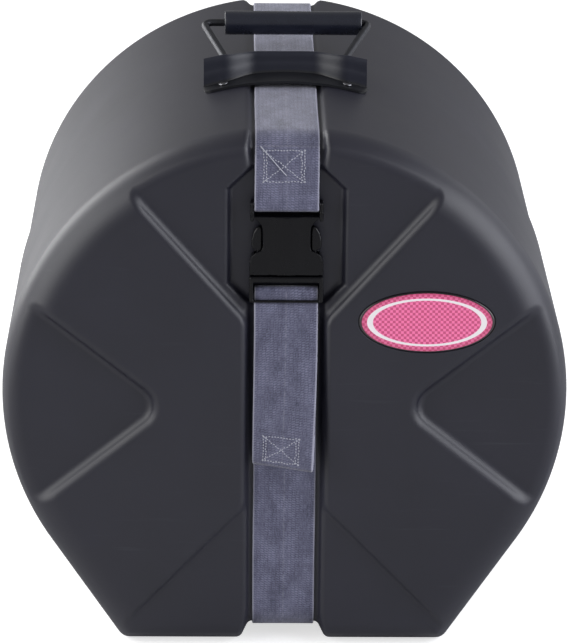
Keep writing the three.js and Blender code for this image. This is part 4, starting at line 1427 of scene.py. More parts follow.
@dataclass
class Strap:
    """The webbing strap: both front lengths, the rear one and the loose tail."""

    gap: float = 0.3
    thickness: float = 1.8
    front_floor: float = -206.0
    back_floor: float = 208.0
    top_floor: float = 430.0
    foot_floor: float = 12.0
    front_bend: float = 24.0
    back_bend: float = 28.0
    seam: float = -6.0
    bar: tuple[float, float] = (-210.6, 378.0)
    bar_wrap: float = 3.4
    ladder: tuple[float, float] = (-209.0, 307.8)
    tail_y: float = -211.8
    tail_top: float = 299.4
    tail_length: float = 136.0
    fold_length: float = 28.0
    tail_twist: float = math.radians(18)
    tail_slant: float = 0.02
    pitch: float = 2.3
    thread: float = 0.45
    loose: int = 9

    @property
    def lift(self) -> float:
        """Height of the webbing's centre line over the groove."""
        return self.gap + self.thickness / 2

    def stitches(
        self, name: str, ribbon: Ribbon, box: tuple[float, float, float, float], lift: float
    ) -> bpy.types.Object:
        """Sews a box with a cross onto a band.

        Args:
            name: of the piece.
            ribbon: what is sewn.
            box: left, right, lower and upper edge, the last two along the band.
            lift: of the thread over the centre line.

        Returns:
            The stitches.
        """
        left, right, low, high = box
        uneven = np.random.default_rng(FIXED_SEED)
        corners = [(left, low), (right, low), (right, high), (left, high)]
        runs = [*zip(corners, [*corners[1:], corners[0]]), (corners[0], corners[2]), (corners[1], corners[3])]
        runs += [((left + 2.2, low + 1), (left + 2.2, high - 1)), ((right - 2.4, low + 1), (right - 2.4, high - 1))]
        lines = []
        for (u0, v0), (u1, v1) in runs:
            shares = np.linspace(0, 1, 14)
            drift = uneven.normal(0, 0.35, (2, len(shares)))
            spots = zip(u0 + (u1 - u0) * shares + drift[0], v0 + (v1 - v0) * shares + drift[1])
            lines.append(np.array([ribbon.place(u, v, lift) for u, v in spots]))
        return with_tree(
            name,
            lines,
            StitchTree().build(),
            Pitch=self.pitch * MM,
            Stitch=self.pitch * 0.72 * MM,
            Thread=self.thread * MM,
            Finish=THREAD.material(),
        )

    def upper(self) -> None:
        """Makes the length over the lid's top, round the buckle's bar and back up to where it is sewn."""
        centre = self.front_floor + self.front_bend
        y = self.front_floor - self.lift
        over = bend(centre, self.top_floor - self.front_bend, self.front_bend + self.lift, 90, 180)
        bar_y, bar_z = self.bar
        wrap = bend(bar_y, bar_z, self.bar_wrap, 0, -180, 12)
        under = [(self.seam, self.top_floor + self.lift), *over, (y, bar_z + 4), *wrap]
        lap = y - self.thickness
        up = bend(centre, self.top_floor - self.front_bend, self.front_bend + self.lift + self.thickness, 180, 138, 8)
        path = np.array([*under, (lap - 0.2, bar_z + 8), (lap, bar_z + 16), *up])
        ribbon = Ribbon("strap_upper", path)
        dress(ribbon.build(), WEBBING, "webbing", "lid", "strap_upper_front")
        end = ribbon.length
        sewn = self.stitches("strap_upper_stitches", ribbon, (-18, 13.5, end - 28, end - 4), self.thickness / 2)
        dress(sewn, THREAD, "webbing", "lid")
        spots = zip(np.linspace(-20.5, -0.5, self.loose), np.linspace(end - 1, end - 23, self.loose))
        rise = 0.35 + 0.5 * np.sin(np.linspace(0, math.pi, self.loose))
        run = np.array([ribbon.place(u, v, self.thickness / 2 + up) for (u, v), up in zip(spots, rise)])
        dress(rod("strap_loose_thread", run, 0.4, 8), THREAD, "webbing", "lid")

    def lower(self) -> None:
        """Makes the length under the lid, up its face and over the buckle's ladder bar."""
        y = self.front_floor - self.lift
        centre = self.front_floor + self.front_bend
        under = bend(centre, self.foot_floor + self.front_bend, self.front_bend + self.lift, -90, -180)
        bar_y, bar_z = self.ladder
        path = np.array(
            [
                (self.seam, self.foot_floor - self.lift),
                *under,
                (y, 284.0),
                (y + 0.6, 293.0),
                (bar_y + 3.1, 303.0),
                *bend(bar_y - 0.1, bar_z + 0.2, 3.1, 0, 180, 10),
                (self.tail_y - 0.2, bar_z - 4),
                (self.tail_y + 0.1, 301.0),
                (self.tail_y, self.tail_top),
            ]
        )
        dress(Ribbon("strap_lower", path, start=7.0).build(), WEBBING, "webbing", "lid", "strap_lower_front")

    def rear(self) -> None:
        """Makes the length round the base."""
        centre = self.back_floor - self.back_bend
        radius = self.back_bend + self.lift
        path = np.array(
            [
                (self.seam, self.top_floor + self.lift),
                *bend(centre, self.top_floor - self.back_bend, radius, 90, 0),
                *bend(centre, self.foot_floor + self.back_bend, radius, 0, -90),
                (self.seam, self.foot_floor - self.lift),
            ]
        )
        dress(Ribbon("strap_back", path, start=3.0).build(), WEBBING, "webbing", "base", "strap_rear")

    def tail(self) -> None:
        """Makes the loose end, folded back behind itself and sewn at the bottom."""
        top, bottom, half = self.tail_top, self.tail_top - self.tail_length, self.thickness / 2
        shares = np.linspace(0, 1, 44)
        heights = top + (bottom + half - top) * shares
        front = [(self.tail_y - self.thickness * s - 0.6 * math.sin(math.pi * s), z) for s, z in zip(shares, heights)]
        turn = bend(self.tail_y - half, bottom + half, half, 180, 360, 7)
        fold = [(self.tail_y, z) for z in np.linspace(bottom + 2.5, bottom + self.fold_length, 12)]
        path = np.array([*front, *turn[1:], *fold])
        ribbon = Ribbon("strap_tail_band", path, start=11.0, twist=self.tail_twist, slant=self.tail_slant)
        dress(ribbon.build(), WEBBING, "webbing", "tail", "strap_tail")
        low = self.tail_length - self.fold_length + 4
        sewn = self.stitches("strap_tail_stitches", ribbon, (-16, 13, low, low + 20), -half)
        dress(sewn, THREAD, "webbing", "tail")

    def build(self) -> None:
        """Makes every length."""
        self.upper()
        self.lower()
        self.rear()
        self.tail()


# Buckle


@dataclass
class Buckle:
    """The side-release buckle: socket, insert and its two prongs."""

    front: float = -215.3
    back: float = -203.3
    step: float = 0.7
    edge: float = 1.1
    bar: tuple[float, float] = (-210.6, 378.0)
    bar_radius: float = 2.2
    ladder: tuple[float, float] = (-209.0, 307.8)

    @property
    def middle(self) -> float:
        """The buckle's mid-plane."""
        return (self.front + self.back) / 2

    def plate(self, points: np.ndarray, half: Sequence[tuple[float, float]], deep: float, edge: float) -> np.ndarray:
        """A plate with the given outline, the same on both sides of the middle.

        Args:
            points: where to measure.
            half: corners of the right half, from the bottom up.
            deep: half its thickness.
            edge: radius of its edges.

        Returns:
            The distance, negative inside.
        """
        outline = [*half, *[(-x, z) for x, z in reversed(half)]]
        plan = polygon_field(outline, points[:, 0], points[:, 2])
        return rounded_max(plan, np.abs(points[:, 1] - self.middle) - deep, edge)

    def socket_field(self, points: np.ndarray) -> np.ndarray:
        """The half that holds the sewn loop.

        Args:
            points: where to measure.

        Returns:
            The distance, negative inside.
        """
        x, y, z = points.T
        across = np.abs(x)
        deep = (self.back - self.front) / 2
        body = [(28.9, 322.5), (28.6, 332), (27.2, 337.6), (24, 340.6), (19.4, 342.6), (18.4, 346)]
        neck = [(18.4, 358), (19.3, 363), (23, 367.4), (27.2, 370.2), (28.3, 372.6)]
        top = [(28.3, 373.4), (25.7, 373.4), (25.3, 370.4), (0.5, 370.4)]
        solid = self.plate(points, [*body, *neck, *top], deep, self.edge)
        crown = 0.010 * across**2 / 2.2
        solid = np.maximum(solid, (self.front + np.minimum(crown, 0.9)) - y)
        low, high = (25.5, self.front + 1.2, 366), (28.4, self.back - 0.4, 381.5)
        ears = box_field(np.stack([across, y, z], 1), low, high, 1.3)
        solid = rounded_min(solid, ears, 1.0)
        rod = np.hypot(y - self.bar[0], z - self.bar[1]) - self.bar_radius
        solid = rounded_min(solid, np.maximum(rod, across - 27), 0.5)
        slot = box_field(points, (-25.2, self.middle - 3.5, 300), (25.2, self.middle + 3.5, 363.4), 0.6)
        return rounded_max(solid, -slot, 0.4)

    def insert_field(self, points: np.ndarray) -> np.ndarray:
        """The half that holds the ladder bar and the tongue.

        Args:
            points: where to measure.

        Returns:
            The distance, negative inside.
        """
        frame = box_field(points, (-29, self.front, 299.7), (29, self.back, 321.1), 1.4)
        window = box_field(points, (-25.8, self.front - 9, 280), (25.8, self.back + 9, 316.5), 1.0)
        solid = rounded_max(frame, -window, 0.7)
        y, z = self.ladder
        for low, high in (
            ((-27, y - 1.6, z - 2), (27, y + 1.6, z + 2)),
            ((-28, self.front, 299.7), (28, self.front + 2.5, 301.7)),
            ((-7, self.middle - 3, 315), (7, self.middle + 3, 352)),
        ):
            solid = rounded_min(solid, box_field(points, low, high, 0.9), 0.4)
        return solid

    def prong_field(self, points: np.ndarray) -> np.ndarray:
        """The right prong: an arm with a rounded thumb pad.

        Args:
            points: where to measure.

        Returns:
            The distance, negative inside.
        """
        outline = [
            (19.2, 321.4), (23.5, 321.4), (22.9, 338), (23.6, 342.2), (26.6, 343.4), (27.5, 346.5), (27.3, 351),
            (25.9, 356.4), (23.6, 360.4), (21.3, 361.6), (19.5, 361.0), (18.9, 356), (19.0, 344),
        ]
        plan = polygon_field(outline, points[:, 0], points[:, 2])
        return rounded_max(plan, np.abs(points[:, 1] - self.middle) - 3.0, 1.5)

    def build(self) -> None:
        """Makes the four pieces."""
        socket = field_piece("socket_body", self.socket_field, (-29, self.front, 323), (29, self.back, 382), self.step)
        dress(socket, BUCKLE, "buckle", "lid", "buckle_socket")
        insert = field_piece("insert_body", self.insert_field, (-29, self.front, 299), (29, self.back, 353), self.step)
        dress(insert, BUCKLE, "buckle", "lid", "buckle_insert")
        for hand, side in (("left", -1), ("right", 1)):
            turn = np.array([side, 1, 1])
            shape = lambda points, turn=turn: self.prong_field(points * turn)  # noqa: E731
            reach = sorted((side * 18.0, side * 28.5))
            low, high = (reach[0], self.middle - 3, 321), (reach[1], self.middle + 3, 362)
            prong = field_piece(f"prong_{hand}_pad", shape, low, high, 0.45)
            dress(prong, BUCKLE, "buckle", f"prong_{hand}", f"buckle_prong_{hand}")


# Handle


def smooth_share(value: np.ndarray, low: float, high: float) -> np.ndarray:
    """Runs smoothly from 0 to 1 between two limits."""
    share = np.clip((value - low) / (high - low), 0, 1)
    return share * share * (3 - 2 * share)


def soft_max(a: np.ndarray, b: np.ndarray, reach: float) -> np.ndarray:
    """The greater of two heights, blended where they differ by less than the reach."""
    share = np.clip(0.5 + 0.5 * (a - b) / reach, 0, 1)
    return b + (a - b) * share + reach * share * (1 - share) / 2


def revolved(name: str, profile: Sequence[tuple[float, float]], sides: int) -> bpy.types.Object:
    """A turned piece along the X axis, closed where its profile meets itself or the axis.

    Args:
        name: of the piece.
        profile: positions along the axis and radii, as a closed loop.
        sides: round it.

    Returns:
        The object.
    """
    angles = np.linspace(0, 2 * math.pi, sides, endpoint=False)
    points, faces, count = [], [], len(profile)
    for a in angles:
        points += [(along, r * math.cos(a), r * math.sin(a)) for along, r in profile]
    for i in range(sides):
        n = (i + 1) % sides
        for j in range(count):
            k = (j + 1) % count
            faces.append((i * count + j, i * count + k, n * count + k, n * count + j))
    piece = mesh_object(name, np.array(points), faces)
    work = bmesh.new()
    work.from_mesh(piece.data)
    bmesh.ops.remove_doubles(work, verts=work.verts, dist=1e-6)
    bmesh.ops.recalc_face_normals(work, faces=work.faces)
    work.to_mesh(piece.data)
    work.free()
    return piece


def oval_stack(
    name: str, centre: tuple[float, float], rings: Sequence[tuple[float, float, float]], sides: int
) -> bpy.types.Object:
    """A closed piece of stacked ovals that face along the Y axis.

    Args:
        name: of the piece.
        centre: across and up.
        rings: half width, half height and position along Y of each oval, closing at both ends.
        sides: of each oval.

    Returns:
        The object.
    """
    angles = np.linspace(0, 2 * math.pi, sides, endpoint=False)
    points = np.array(
        [(centre[0] + a * math.cos(t), y, centre[1] + b * math.sin(t)) for a, b, y in rings for t in angles]
    )
    faces = []
    for i in range(len(rings) - 1):
        for j in range(sides):
            k = (j + 1) % sides
            faces.append((i * sides + j, i * sides + k, (i + 1) * sides + k, (i + 1) * sides + j))
    piece = mesh_object(name, points, faces)
    work = bmesh.new()
    work.from_mesh(piece.data)
    bmesh.ops.remove_doubles(work, verts=work.verts, dist=1e-6)
    bmesh.ops.recalc_face_normals(work, faces=work.faces)
    work.to_mesh(piece.data)
    work.free()
    return piece


def rod(name: str, path: np.ndarray, radius: float, sides: int = 20) -> bpy.types.Object:
    """A round bar along a path, with domed ends.

    Args:
        name: of the piece.
        path: rows of points.
        radius: of the bar.
        sides: round it.

    Returns:
        The object.
    """
    run = np.gradient(path, axis=0)
    run /= np.linalg.norm(run, axis=1, keepdims=True)
    side = np.cross(run[0], (0.0, 0.37, 1.0))
    rings, angles = [], np.linspace(0, 2 * math.pi, sides, endpoint=False)
    for i, (point, ahead) in enumerate(zip(path, run)):
        side = side - ahead * side.dot(ahead)
        side /= np.linalg.norm(side)
        other = np.cross(ahead, side)
        ends = ((-0.9, 0.35), (-0.6, 0.8), (0.0, 1.0)) if i == 0 else ((0.0, 1.0),)
        ends = ((0.0, 1.0), (0.6, 0.8), (0.9, 0.35)) if i == len(path) - 1 else ends
        for back, share in ends:
            spread = np.cos(angles)[:, None] * side + np.sin(angles)[:, None] * other
            rings.append(point + ahead * back * radius * 0.4 + radius * share * spread)
    points = np.concatenate(rings)
    faces = []
    for i in range(len(rings) - 1):
        for j in range(sides):
            k = (j + 1) % sides
            faces.append((i * sides + j, i * sides + k, (i + 1) * sides + k, (i + 1) * sides + j))
    faces.append(tuple(reversed(range(sides))))
    faces.append(tuple((len(rings) - 1) * sides + j for j in range(sides)))
    return mesh_object(name, points, faces)


@dataclass
class Handle:
    """The pressed bracket, the wire bail and the tube that turns on it."""

    seam: float = -6.0
    crest: float = 436.0
    axis_height: float = 211.0
    radius: float = 225.0
    half_width: float = 66.0
    thickness: float = 2.0
    corner: float = 8.0
    ear: tuple[float, float] = (37.0, 40.0)  # its sides, from the middle
    wire_play: float = 0.3
    smooth_below: float = math.radians(38)
    front_reach: float = 69.0
    slot: tuple[float, float] = (42.6, 58.4)
    face_back: float = 42.0
    face_height: float = 17.0
    face_run: float = 4.5
    face_turn: tuple[float, float] = (22.0, 51.0)
    face_roll: float = 0.5
    wing_ahead: float = 11.0
    wing_fall: float = 4.6
    back_slope: float = 0.44
    pivot: tuple[float, float] = (-28.0, 438.5)
    wire: float = 3.05
    arm_foot: float = 46.0
    arm_heads: tuple[float, float] = (68.0, 71.0)
    reach: float = 65.0
    rest_angle: float = math.radians(15.6)
    grip_radius: float = 10.0
    grip_length: float = 114.0
    grip_offset: float = 7.5
    bore: float = 3.6

    def foot(self, x: np.ndarray) -> np.ndarray:
        """Where the bracket's face starts along the case, further forward at its wings."""
        return self.seam - self.face_back - self.wing_ahead * smooth_share(np.abs(x), *self.face_turn)

    def bracket_top(self, x: np.ndarray, y: np.ndarray) -> np.ndarray:
        """Height of the plate's middle.

        Args:
            x: across.
            y: along the case.

        Returns:
            Heights.
        """
        across = np.abs(x)
        on_case = self.axis_height + np.sqrt(np.maximum(self.radius**2 - x**2, 0)) + 0.3 + self.thickness / 2
        foot = self.foot(x)
        top = self.crest + self.face_height - self.wing_fall * np.clip((across - self.face_turn[1]) / 20, 0, 1)
        share = (y - foot) / self.face_run
        share = share - self.face_roll * np.sin(4 * math.pi * np.clip(share, 0, 1)) / (4 * math.pi)
        face = on_case + (top - on_case) * share
        behind = top - self.back_slope * (y - foot - self.face_run)
        return soft_max(-soft_max(-face, -behind, 5.0), on_case, 4.0)

    def sheet(self) -> bpy.types.Object:
        """Makes the pressed sheet with rounded corners, its rows set closer round the bends.

        Returns:
            The object, as thick as the sheet.
        """
        across = np.linspace(-self.half_width, self.half_width, 111)
        beyond = np.maximum(np.abs(across) - self.half_width + self.corner, 0)
        corner = self.corner - np.sqrt(self.corner**2 - beyond**2)
        front, rear = self.seam - self.front_reach + corner, self.seam - 2 - corner
        foot = self.foot(across)
        crest = foot + self.face_run
        stations = [(front, foot - 2, 12), (foot - 2, foot + 2, 9), (foot + 2, crest - 1, 6)]
        stations += [(crest - 1, crest + 4, 11), (crest + 4, rear, 16)]
        rows = [front]
        for low, high, count in stations:
            rows += [low + (high - low) * share for share in np.linspace(0, 1, count + 1)[1:]]
        points = np.array([(x, y, z) for row in rows for x, y, z in zip(across, row, self.bracket_top(across, row))])
        count = len(across)
        faces = [
            (i * count + j, i * count + j + 1, (i + 1) * count + j + 1, (i + 1) * count + j)
            for i in range(len(rows) - 1)
            for j in range(count - 1)
        ]
        piece = mesh_object("bracket_plate", points, faces)
        thick = piece.modifiers.new("thick", "SOLIDIFY")
        thick.thickness, thick.offset, thick.use_even_offset = self.thickness * MM, 0.0, True
        return baked(piece)

    def bracket(self) -> bpy.types.Object:
        """Makes the plate with its ears, the slots for the wire's arms and the holes for its ends."""
        piece, (y, z) = self.sheet(), self.pivot
        for side in (-1, 1):
            near, far = sorted((side * self.ear[0], side * self.ear[1]))
            ear = box_mesh("ear", (near, y - 5, self.crest - 2.6), (far, y + 4, z + 6.5))
            combined(piece, ear, "UNION")
            near, far = sorted((side * self.slot[0], side * self.slot[1]))
            slot = box_mesh("slot", (near, y - 3.6, self.crest - 14), (far, self.seam + 9, self.crest + 36))
            combined(piece, slot, "DIFFERENCE")
        radius = self.wire + self.wire_play
        bore = revolved("bore", [(-44, 0.0), (-44, radius), (44, radius), (44, 0.0)], 32)
        combined(piece, moved(bore, (0.0, y, z)), "DIFFERENCE")
        piece.data.set_sharp_from_angle(angle=self.smooth_below)
        return piece

    def bail_path(self) -> np.ndarray:
        """The wire's centre line, from the left stub over the grip to the right one."""
        left, right = self.arm_heads
        corners = [(-34, 0, 0), (-self.arm_foot, 0, 5.0), (-left, self.reach, 6.5)]
        corners += [(right, self.reach, 5.0), (self.arm_foot, 0, 5.0), (34, 0, 0)]
        y, z = self.pivot
        run, rise = math.cos(self.rest_angle), math.sin(self.rest_angle)
        spots = [np.array([x, y + along * run, z + along * rise]) for x, along, _ in corners]
        path = [spots[0]]
        for before, here, after, (_, _, radius) in zip(spots, spots[1:], spots[2:], corners[1:]):
            back = (before - here) / np.linalg.norm(before - here)
            ahead = (after - here) / np.linalg.norm(after - here)
            setback = radius / math.tan(math.acos(float(back.dot(ahead))) / 2)
            for share in np.linspace(0, 1, 9):
                start, end = here + back * setback, here + ahead * setback
                path.append(start * (1 - share) ** 2 + 2 * here * share * (1 - share) + end * share**2)
        path.append(spots[-1])
        dense = [path[0]]
        for a, b in zip(path, path[1:]):
            count = max(int(np.linalg.norm(b - a) / 4), 1)
            dense += [a + (b - a) * (k + 1) / count for k in range(count)]
        return np.array(dense)

    def grip(self) -> bpy.types.Object:
        """Makes the tube: rounded lips at its ends and a slight swell between them."""
        half, r = self.grip_length / 2, self.grip_radius
        outer = [(-half + 0.1, r - 0.6), (-half + 0.3, r - 0.3), (-half + 0.8, r - 0.05), (-half + 4, r)]
        body = [(s * half, r - 0.25 + 0.25 * abs(s)) for s in np.linspace(-0.85, 0.85, 9)]
        profile = [(-half, r - 0.9), *outer, *body, *[(-x, radius) for x, radius in reversed(outer)], (half, r - 0.9)]
        profile += [(half, self.bore + 1), (half - 1, self.bore), (-half + 1, self.bore), (-half, self.bore + 1)]
        y = self.pivot[0] + self.reach * math.cos(self.rest_angle)
        z = self.pivot[1] + self.reach * math.sin(self.rest_angle)
        return moved(revolved("grip_tube", profile, 48), (self.grip_offset, y, z))

    def build(self) -> None:
        """Makes the three pieces."""
        dress(self.bracket(), BRACKET, "coated_steel", "lid", "handle_bracket")
        dress(rod("bail_wire", self.bail_path(), self.wire), WIRE, "wire", "bail", "handle_bail")
        dress(self.grip(), GRIP, "grip", "grip", "handle_grip")


@dataclass
class Fasteners:
    """Rivets with their washers, set out by geometry nodes."""

    radius: float = 225.0
    axis_height: float = 211.0
    seam: float = -6.0
    reach: float = 49.5
    runs: tuple[float, float] = (60.0, 7.0)

    def rivet_profile(self, low: float, high: float) -> list[tuple[float, float]]:
        """A rivet along its own axis.

        Args:
            low: where its tail is clenched.
            high: where its head sits.

        Returns:
            Positions along the axis and radii.
        """
        dome = [(high + 2.0 * math.sin(a), 4.0 * math.cos(a)) for a in np.radians((0, 18, 36, 54, 72, 88))]
        tail = [(low - 1.8, 0.0), (low - 1.8, 2.6), (low - 1.3, 3.2), (low, 3.2)]
        return [*tail, (low, 2.0), (high, 2.0), *dome, (high + 2.0, 0.0)]

    def washer_profile(self, top: float) -> list[tuple[float, float]]:
        """A washer under the wall's inside.

        Args:
            top: its upper face.

        Returns:
            Positions along the axis and radii.
        """
        low = top - 1.5
        return [(low, 2.5), (low, 5.7), (low + 0.3, 6.0), (top - 0.3, 6.0), (top, 5.7), (top, 2.5)]

    def tree(self) -> bpy.types.NodeTree:
        """Makes the tree that copies a template to points, turned to face each point's direction."""
        tree = bpy.data.node_groups.new("set_out", "GeometryNodeTree")
        tree.interface.new_socket("Places", in_out="INPUT", socket_type="NodeSocketGeometry")
        tree.interface.new_socket("Template", in_out="INPUT", socket_type="NodeSocketObject")
        tree.interface.new_socket("Finish", in_out="INPUT", socket_type="NodeSocketMaterial")
        tree.interface.new_socket("Copies", in_out="OUTPUT", socket_type="NodeSocketGeometry")
        given = add_node(tree, "NodeGroupInput").outputs
        shape = add_node(tree, "GeometryNodeObjectInfo", {"Object": given["Template"]})
        spots = add_node(tree, "GeometryNodeMeshToPoints", {"Mesh": given["Places"]})
        facing = add_node(tree, "GeometryNodeInputNamedAttribute", {"Name": "facing"}, data_type="FLOAT_VECTOR")
        turn = add_node(tree, "FunctionNodeAlignRotationToVector", {"Vector": facing.outputs[0]}, axis="X")
        laid = add_node(
            tree,
            "GeometryNodeInstanceOnPoints",
            {"Points": spots.outputs[0], "Instance": shape.outputs["Geometry"], "Rotation": turn.outputs[0]},
        )
        real = add_node(tree, "GeometryNodeRealizeInstances", {0: laid.outputs[0]})
        shown = add_node(tree, "GeometryNodeSetMaterial", {"Geometry": real.outputs[0], "Material": given["Finish"]})
        add_node(tree, "NodeGroupOutput", {0: shown.outputs[0]})
        return tree

    def set_out(
        self, name: str, profile: Sequence[tuple[float, float]], places: np.ndarray, facing: np.ndarray
    ) -> bpy.types.Object:
        """Copies a turned template to the given places.

        Args:
            name: of the piece.
            profile: of the template.
            places: rows of points.
            facing: the way that each copy's axis points.

        Returns:
            All the copies as one object.
        """
        template = revolved(f"{name}_template", profile, 28)
        mesh = bpy.data.meshes.new(name)
        mesh.from_pydata((places * MM).tolist(), [], [])
        layer = mesh.attributes.new("facing", "FLOAT_VECTOR", "POINT")
        layer.data.foreach_set("vector", facing.ravel())
        piece = bpy.data.objects.new(name, mesh)
        bpy.context.scene.collection.objects.link(piece)
        modifier = piece.modifiers.new("set_out", "NODES")
        modifier.node_group = bpy.data.node_groups.get("set_out") or self.tree()
        values = {"Template": template, "Finish": RIVET.material()}
        for item in modifier.node_group.interface.items_tree:
            if item.in_out == "INPUT" and item.name in values:
                modifier[item.identifier] = values[item.name]
        baked(piece)
        bpy.data.objects.remove(template)
        return piece

    def build(self) -> None:
        """Makes the rivets of the bracket and the strap, and their washers."""
        places, facing, nodes = [], [], []
        for where, run in zip(("front", "rear"), self.runs):
            for hand, side in (("left", -1), ("right", 1)):
                angle = math.asin(self.reach / self.radius)
                places.append((0.0, self.seam - run, self.axis_height))
                facing.append((side * math.sin(angle), 0.0, math.cos(angle)))
                nodes.append(f"{where}_{hand}")
        spots, ways = np.array(places), np.array(facing)
        inside = self.radius - 4.3
        rivets = self.set_out("bracket_rivets", self.rivet_profile(inside - 1.8, self.radius + 2.6), spots, ways)
        dress(rivets, RIVET, "rivet", "lid", *[f"rivet_{n}" for n in nodes])
        washers = self.set_out("bracket_washers", self.washer_profile(inside), spots, ways)
        dress(washers, RIVET, "rivet", "lid", *[f"washer_{n}" for n in nodes])
        spot, way = np.array([(0.0, 0.0, self.axis_height)]), np.array([(0.0, 1.0, 0.0)])
        rivet = self.set_out("strap_rivet_head", self.rivet_profile(201.9, 210.4), spot, way)
        dress(rivet, RIVET, "rivet", "base", "strap_rivet")
        ring = self.set_out("strap_rivet_washer", self.washer_profile(203.7), spot, way)
        dress(ring, RIVET, "rivet", "base", "strap_washer")


@dataclass
class Badge:
    """The printed oval in its seat."""

    centre: tuple[float, float] = (110.475, 284.5075)
    half_width: float = 53.0
    half_height: float = 25.0
    back: float = -215.1
    thickness: float = 1.6
    sides: int = 96

    def build(self) -> None:
        """Makes a slightly domed oval with a rounded rim."""
        lip = [(0.0, 0.0), (0.0, 0.9), (0.35, 1.25), (1.0, 1.45), (2.6, 1.5)]
        rings = [(0.0, 0.0, self.back)]
        rings += [(self.half_width - back, self.half_height - back, self.back - up) for back, up in lip]
        for share in (0.8, 0.6, 0.4, 0.2, 0.0):
            up = 1.52 + 0.08 * (1 - share**2)
            rings.append((share * self.half_width, share * self.half_height, self.back - up))
        piece = oval_stack("badge_plate", self.centre, rings, self.sides)
        dress(piece, BADGE, "badge", "lid", "badge")


@dataclass
class Foam:
    """The end pads and the curved liners inside both shells."""

    form: CaseForm = field(default_factory=CaseForm)
    step: float = 4.0
    edge: float = 2.0
    liner_gap: float = 60.0
    liner_thickness: float = 8.0

    def pad_field(self, points: np.ndarray, face: Face, low: float, high: float) -> np.ndarray:
        """An end pad, hollowed where the strap's groove turns the corner.

        Args:
            points: where to measure.
            face: which end.
            low: its front plane.
            high: its back plane.

        Returns:
            The distance, negative inside.
        """
        x, y, z = points.T
        up, above = z - self.form.axis_height, y * face.value - self.form.half_depth
        solid = self.form.outline(x, z, 14.0, 18.0)
        solid = rounded_max(solid, np.maximum(low - y, y - high), self.edge)
        depth, turn = (10.0, 24.0) if face is Face.FRONT else (8.0, 28.0)
        wall = self.form.wall + 0.4
        grown = Channel(half_width=28.0 + wall * 0.7, top_depth=6.0 + wall, foot_depth=12.0 + wall, mouth_radius=1.5)
        solid = grown.cut(solid, x, up, above, self.form, depth + wall, turn - wall)
        hole = np.hypot(x, up) - 12.0
        return rounded_max(solid, -hole, 1.5)

    def liner_field(self, points: np.ndarray, side: int, inset: float, low: float, high: float) -> np.ndarray:
        """A curved liner along one side.

        Args:
            points: where to measure.
            side: -1 for the left one and 1 for the right one.
            inset: of its outer face.
            low: its front plane.
            high: its back plane.

        Returns:
            The distance, negative inside.
        """
        x, y, z = points.T
        foot = self.form.wall + 0.3
        outer = self.form.outline(x, z, inset, foot)
        inner = self.form.outline(x, z, inset + self.liner_thickness, foot + self.liner_thickness)
        solid = rounded_max(outer, -inner, self.edge)
        ends = np.maximum(np.maximum(low - y, y - high), self.liner_gap - side * x)
        return rounded_max(solid, ends, self.edge)

    def build(self) -> None:
        """Makes the pads and liners."""
        form, reach = self.form, self.form.radius
        for name, body, face, low, high in (
            ("lid_foam_disc", "lid", Face.FRONT, -198.7, -188.7),
            ("base_foam_disc", "base", Face.BACK, 193.7, 203.7),
        ):
            shape = lambda p, face=face, low=low, high=high: self.pad_field(p, face, low, high)  # noqa: E731
            pad = field_piece(name, shape, (-reach, low, 10), (reach, high, form.axis_height + reach), self.step)
            dress(pad, FOAM, "foam", body, f"{body}_end_pad")
        for body, inset, low, high in (("lid", 4.3, -186.0, -48.0), ("base", 6.8, -1.7, 193.4)):
            for hand, side in (("left", -1), ("right", 1)):
                shape = lambda p, side=side, inset=inset, low=low, high=high: self.liner_field(  # noqa: E731
                    p, side, inset, low, high
                )
                ends = sorted((side * (self.liner_gap - 2), side * reach))
                box = ((ends[0], low, 0), (ends[1], high, form.axis_height + reach))
                liner = field_piece(f"{body}_foam_{hand}", shape, *box, self.step)
                dress(liner, FOAM, "foam", body, f"{body}_liner_{hand}")


# Studio


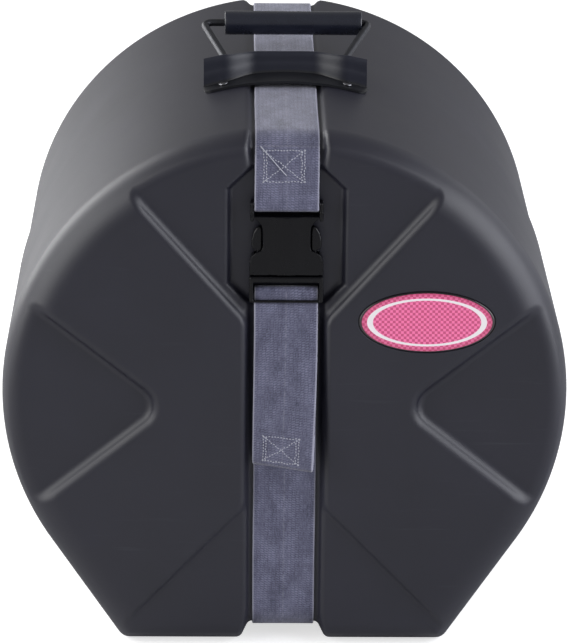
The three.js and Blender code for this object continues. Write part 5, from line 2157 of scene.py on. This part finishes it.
@dataclass
class Studio:
    """Floor, light and camera."""

    aim: tuple[float, float, float] = (0.0021, 0.0, 0.2029)
    distance: float = 2.8606
    pitch: float = 20.73
    swing: float = -0.85
    roll: float = 0.55
    focal_pixels: float = 3362.7
    long_side: float = 643.0
    sensor: float = 36.0
    ambient: float = 0.1
    gleam: float = 0.26

    def camera(self) -> None:
        """Puts the camera at the photograph's angle."""
        lens = bpy.data.cameras.new("camera")
        lens.sensor_width = self.sensor
        lens.lens = self.focal_pixels / self.long_side * self.sensor
        lens.clip_start, lens.clip_end = 0.1, 60.0
        holder = bpy.data.objects.new("camera", lens)
        bpy.context.scene.collection.objects.link(holder)
        turn = Euler((math.radians(90 - self.pitch), 0.0, math.radians(self.swing))).to_quaternion()
        holder.location = Vector(self.aim) + turn @ Vector((0.0, 0.0, self.distance))
        holder.rotation_euler = (turn @ Quaternion((0.0, 0.0, 1.0), math.radians(self.roll))).to_euler()
        bpy.context.scene.camera = holder

    def lamp(self, name: str, place: Sequence[float], size: tuple[float, float], power: float, tint: str) -> None:
        """Adds a soft lamp aimed at the case.

        Args:
            name: of the lamp.
            place: in metres.
            size: width and height in metres.
            power: in watts.
            tint: its colour.
        """
        light = bpy.data.lights.new(name, "AREA")
        light.shape = "RECTANGLE"
        light.size, light.size_y = size
        light.energy = power
        light.color = linear(tint)[:3]
        holder = bpy.data.objects.new(name, light)
        bpy.context.scene.collection.objects.link(holder)
        holder.location = place
        aim = Vector((0.0, 0.0, 0.22)) - Vector(place)
        holder.rotation_euler = aim.to_track_quat("-Z", "Y").to_euler()

    def floor(self) -> None:
        """Lays a wide pale floor."""
        reach = 20_000.0
        points = np.array([(-reach, -reach, -0.4), (reach, -reach, -0.4), (reach, reach, -0.4), (-reach, reach, -0.4)])
        ground = mesh_object("floor", points, [(0, 1, 2, 3)])
        ground.data.materials.append(FLOOR.material())

    def world(self) -> None:
        """Lights the room evenly and shows a white background."""
        world = bpy.data.worlds.new("room")
        bpy.context.scene.world = world
        world.use_nodes = True
        tree = world.node_tree
        rays = add_node(tree, "ShaderNodeLightPath")
        strength = add_node(
            tree, "ShaderNodeMapRange", {"Value": rays.outputs["Is Camera Ray"], "To Min": self.ambient, "To Max": 1.0}
        )
        mirrored = {0: rays.outputs["Is Glossy Ray"], 1: self.gleam, 2: strength.outputs[0]}
        strength = add_node(tree, "ShaderNodeMath", mirrored, operation="MULTIPLY_ADD")
        sky = tree.nodes["Background"]
        sky.inputs["Color"].default_value = (1.0, 1.0, 1.0, 1.0)
        tree.links.new(strength.outputs[0], sky.inputs["Strength"])

    def build(self) -> None:
        """Sets up the studio."""
        bpy.context.scene.view_settings.view_transform = "Standard"
        self.camera()
        self.floor()
        self.world()
        self.lamp("left", (-2.2, -0.85, 1.1), (2.4, 2.2), 62.0, "#ffffff")
        self.lamp("left_back", (-1.8, 1.4, 1.0), (1.3, 1.8), 45.0, "#ffffff")
        self.lamp("right", (2.2, -0.75, 1.1), (2.4, 2.2), 80.0, "#f6f8ff")
        self.lamp("right_back", (1.8, 1.4, 1.0), (1.3, 1.8), 8.0, "#f6f8ff")


def main() -> None:
    """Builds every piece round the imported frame."""
    logging.basicConfig(level=logging.INFO, format="%(name)s: %(message)s")
    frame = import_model()
    Studio().build()
    Shells().build()
    Strap().build()
    Buckle().build()
    Handle().build()
    Fasteners().build()
    Badge().build()
    Foam().build()


if __name__ == "__main__":
    main()
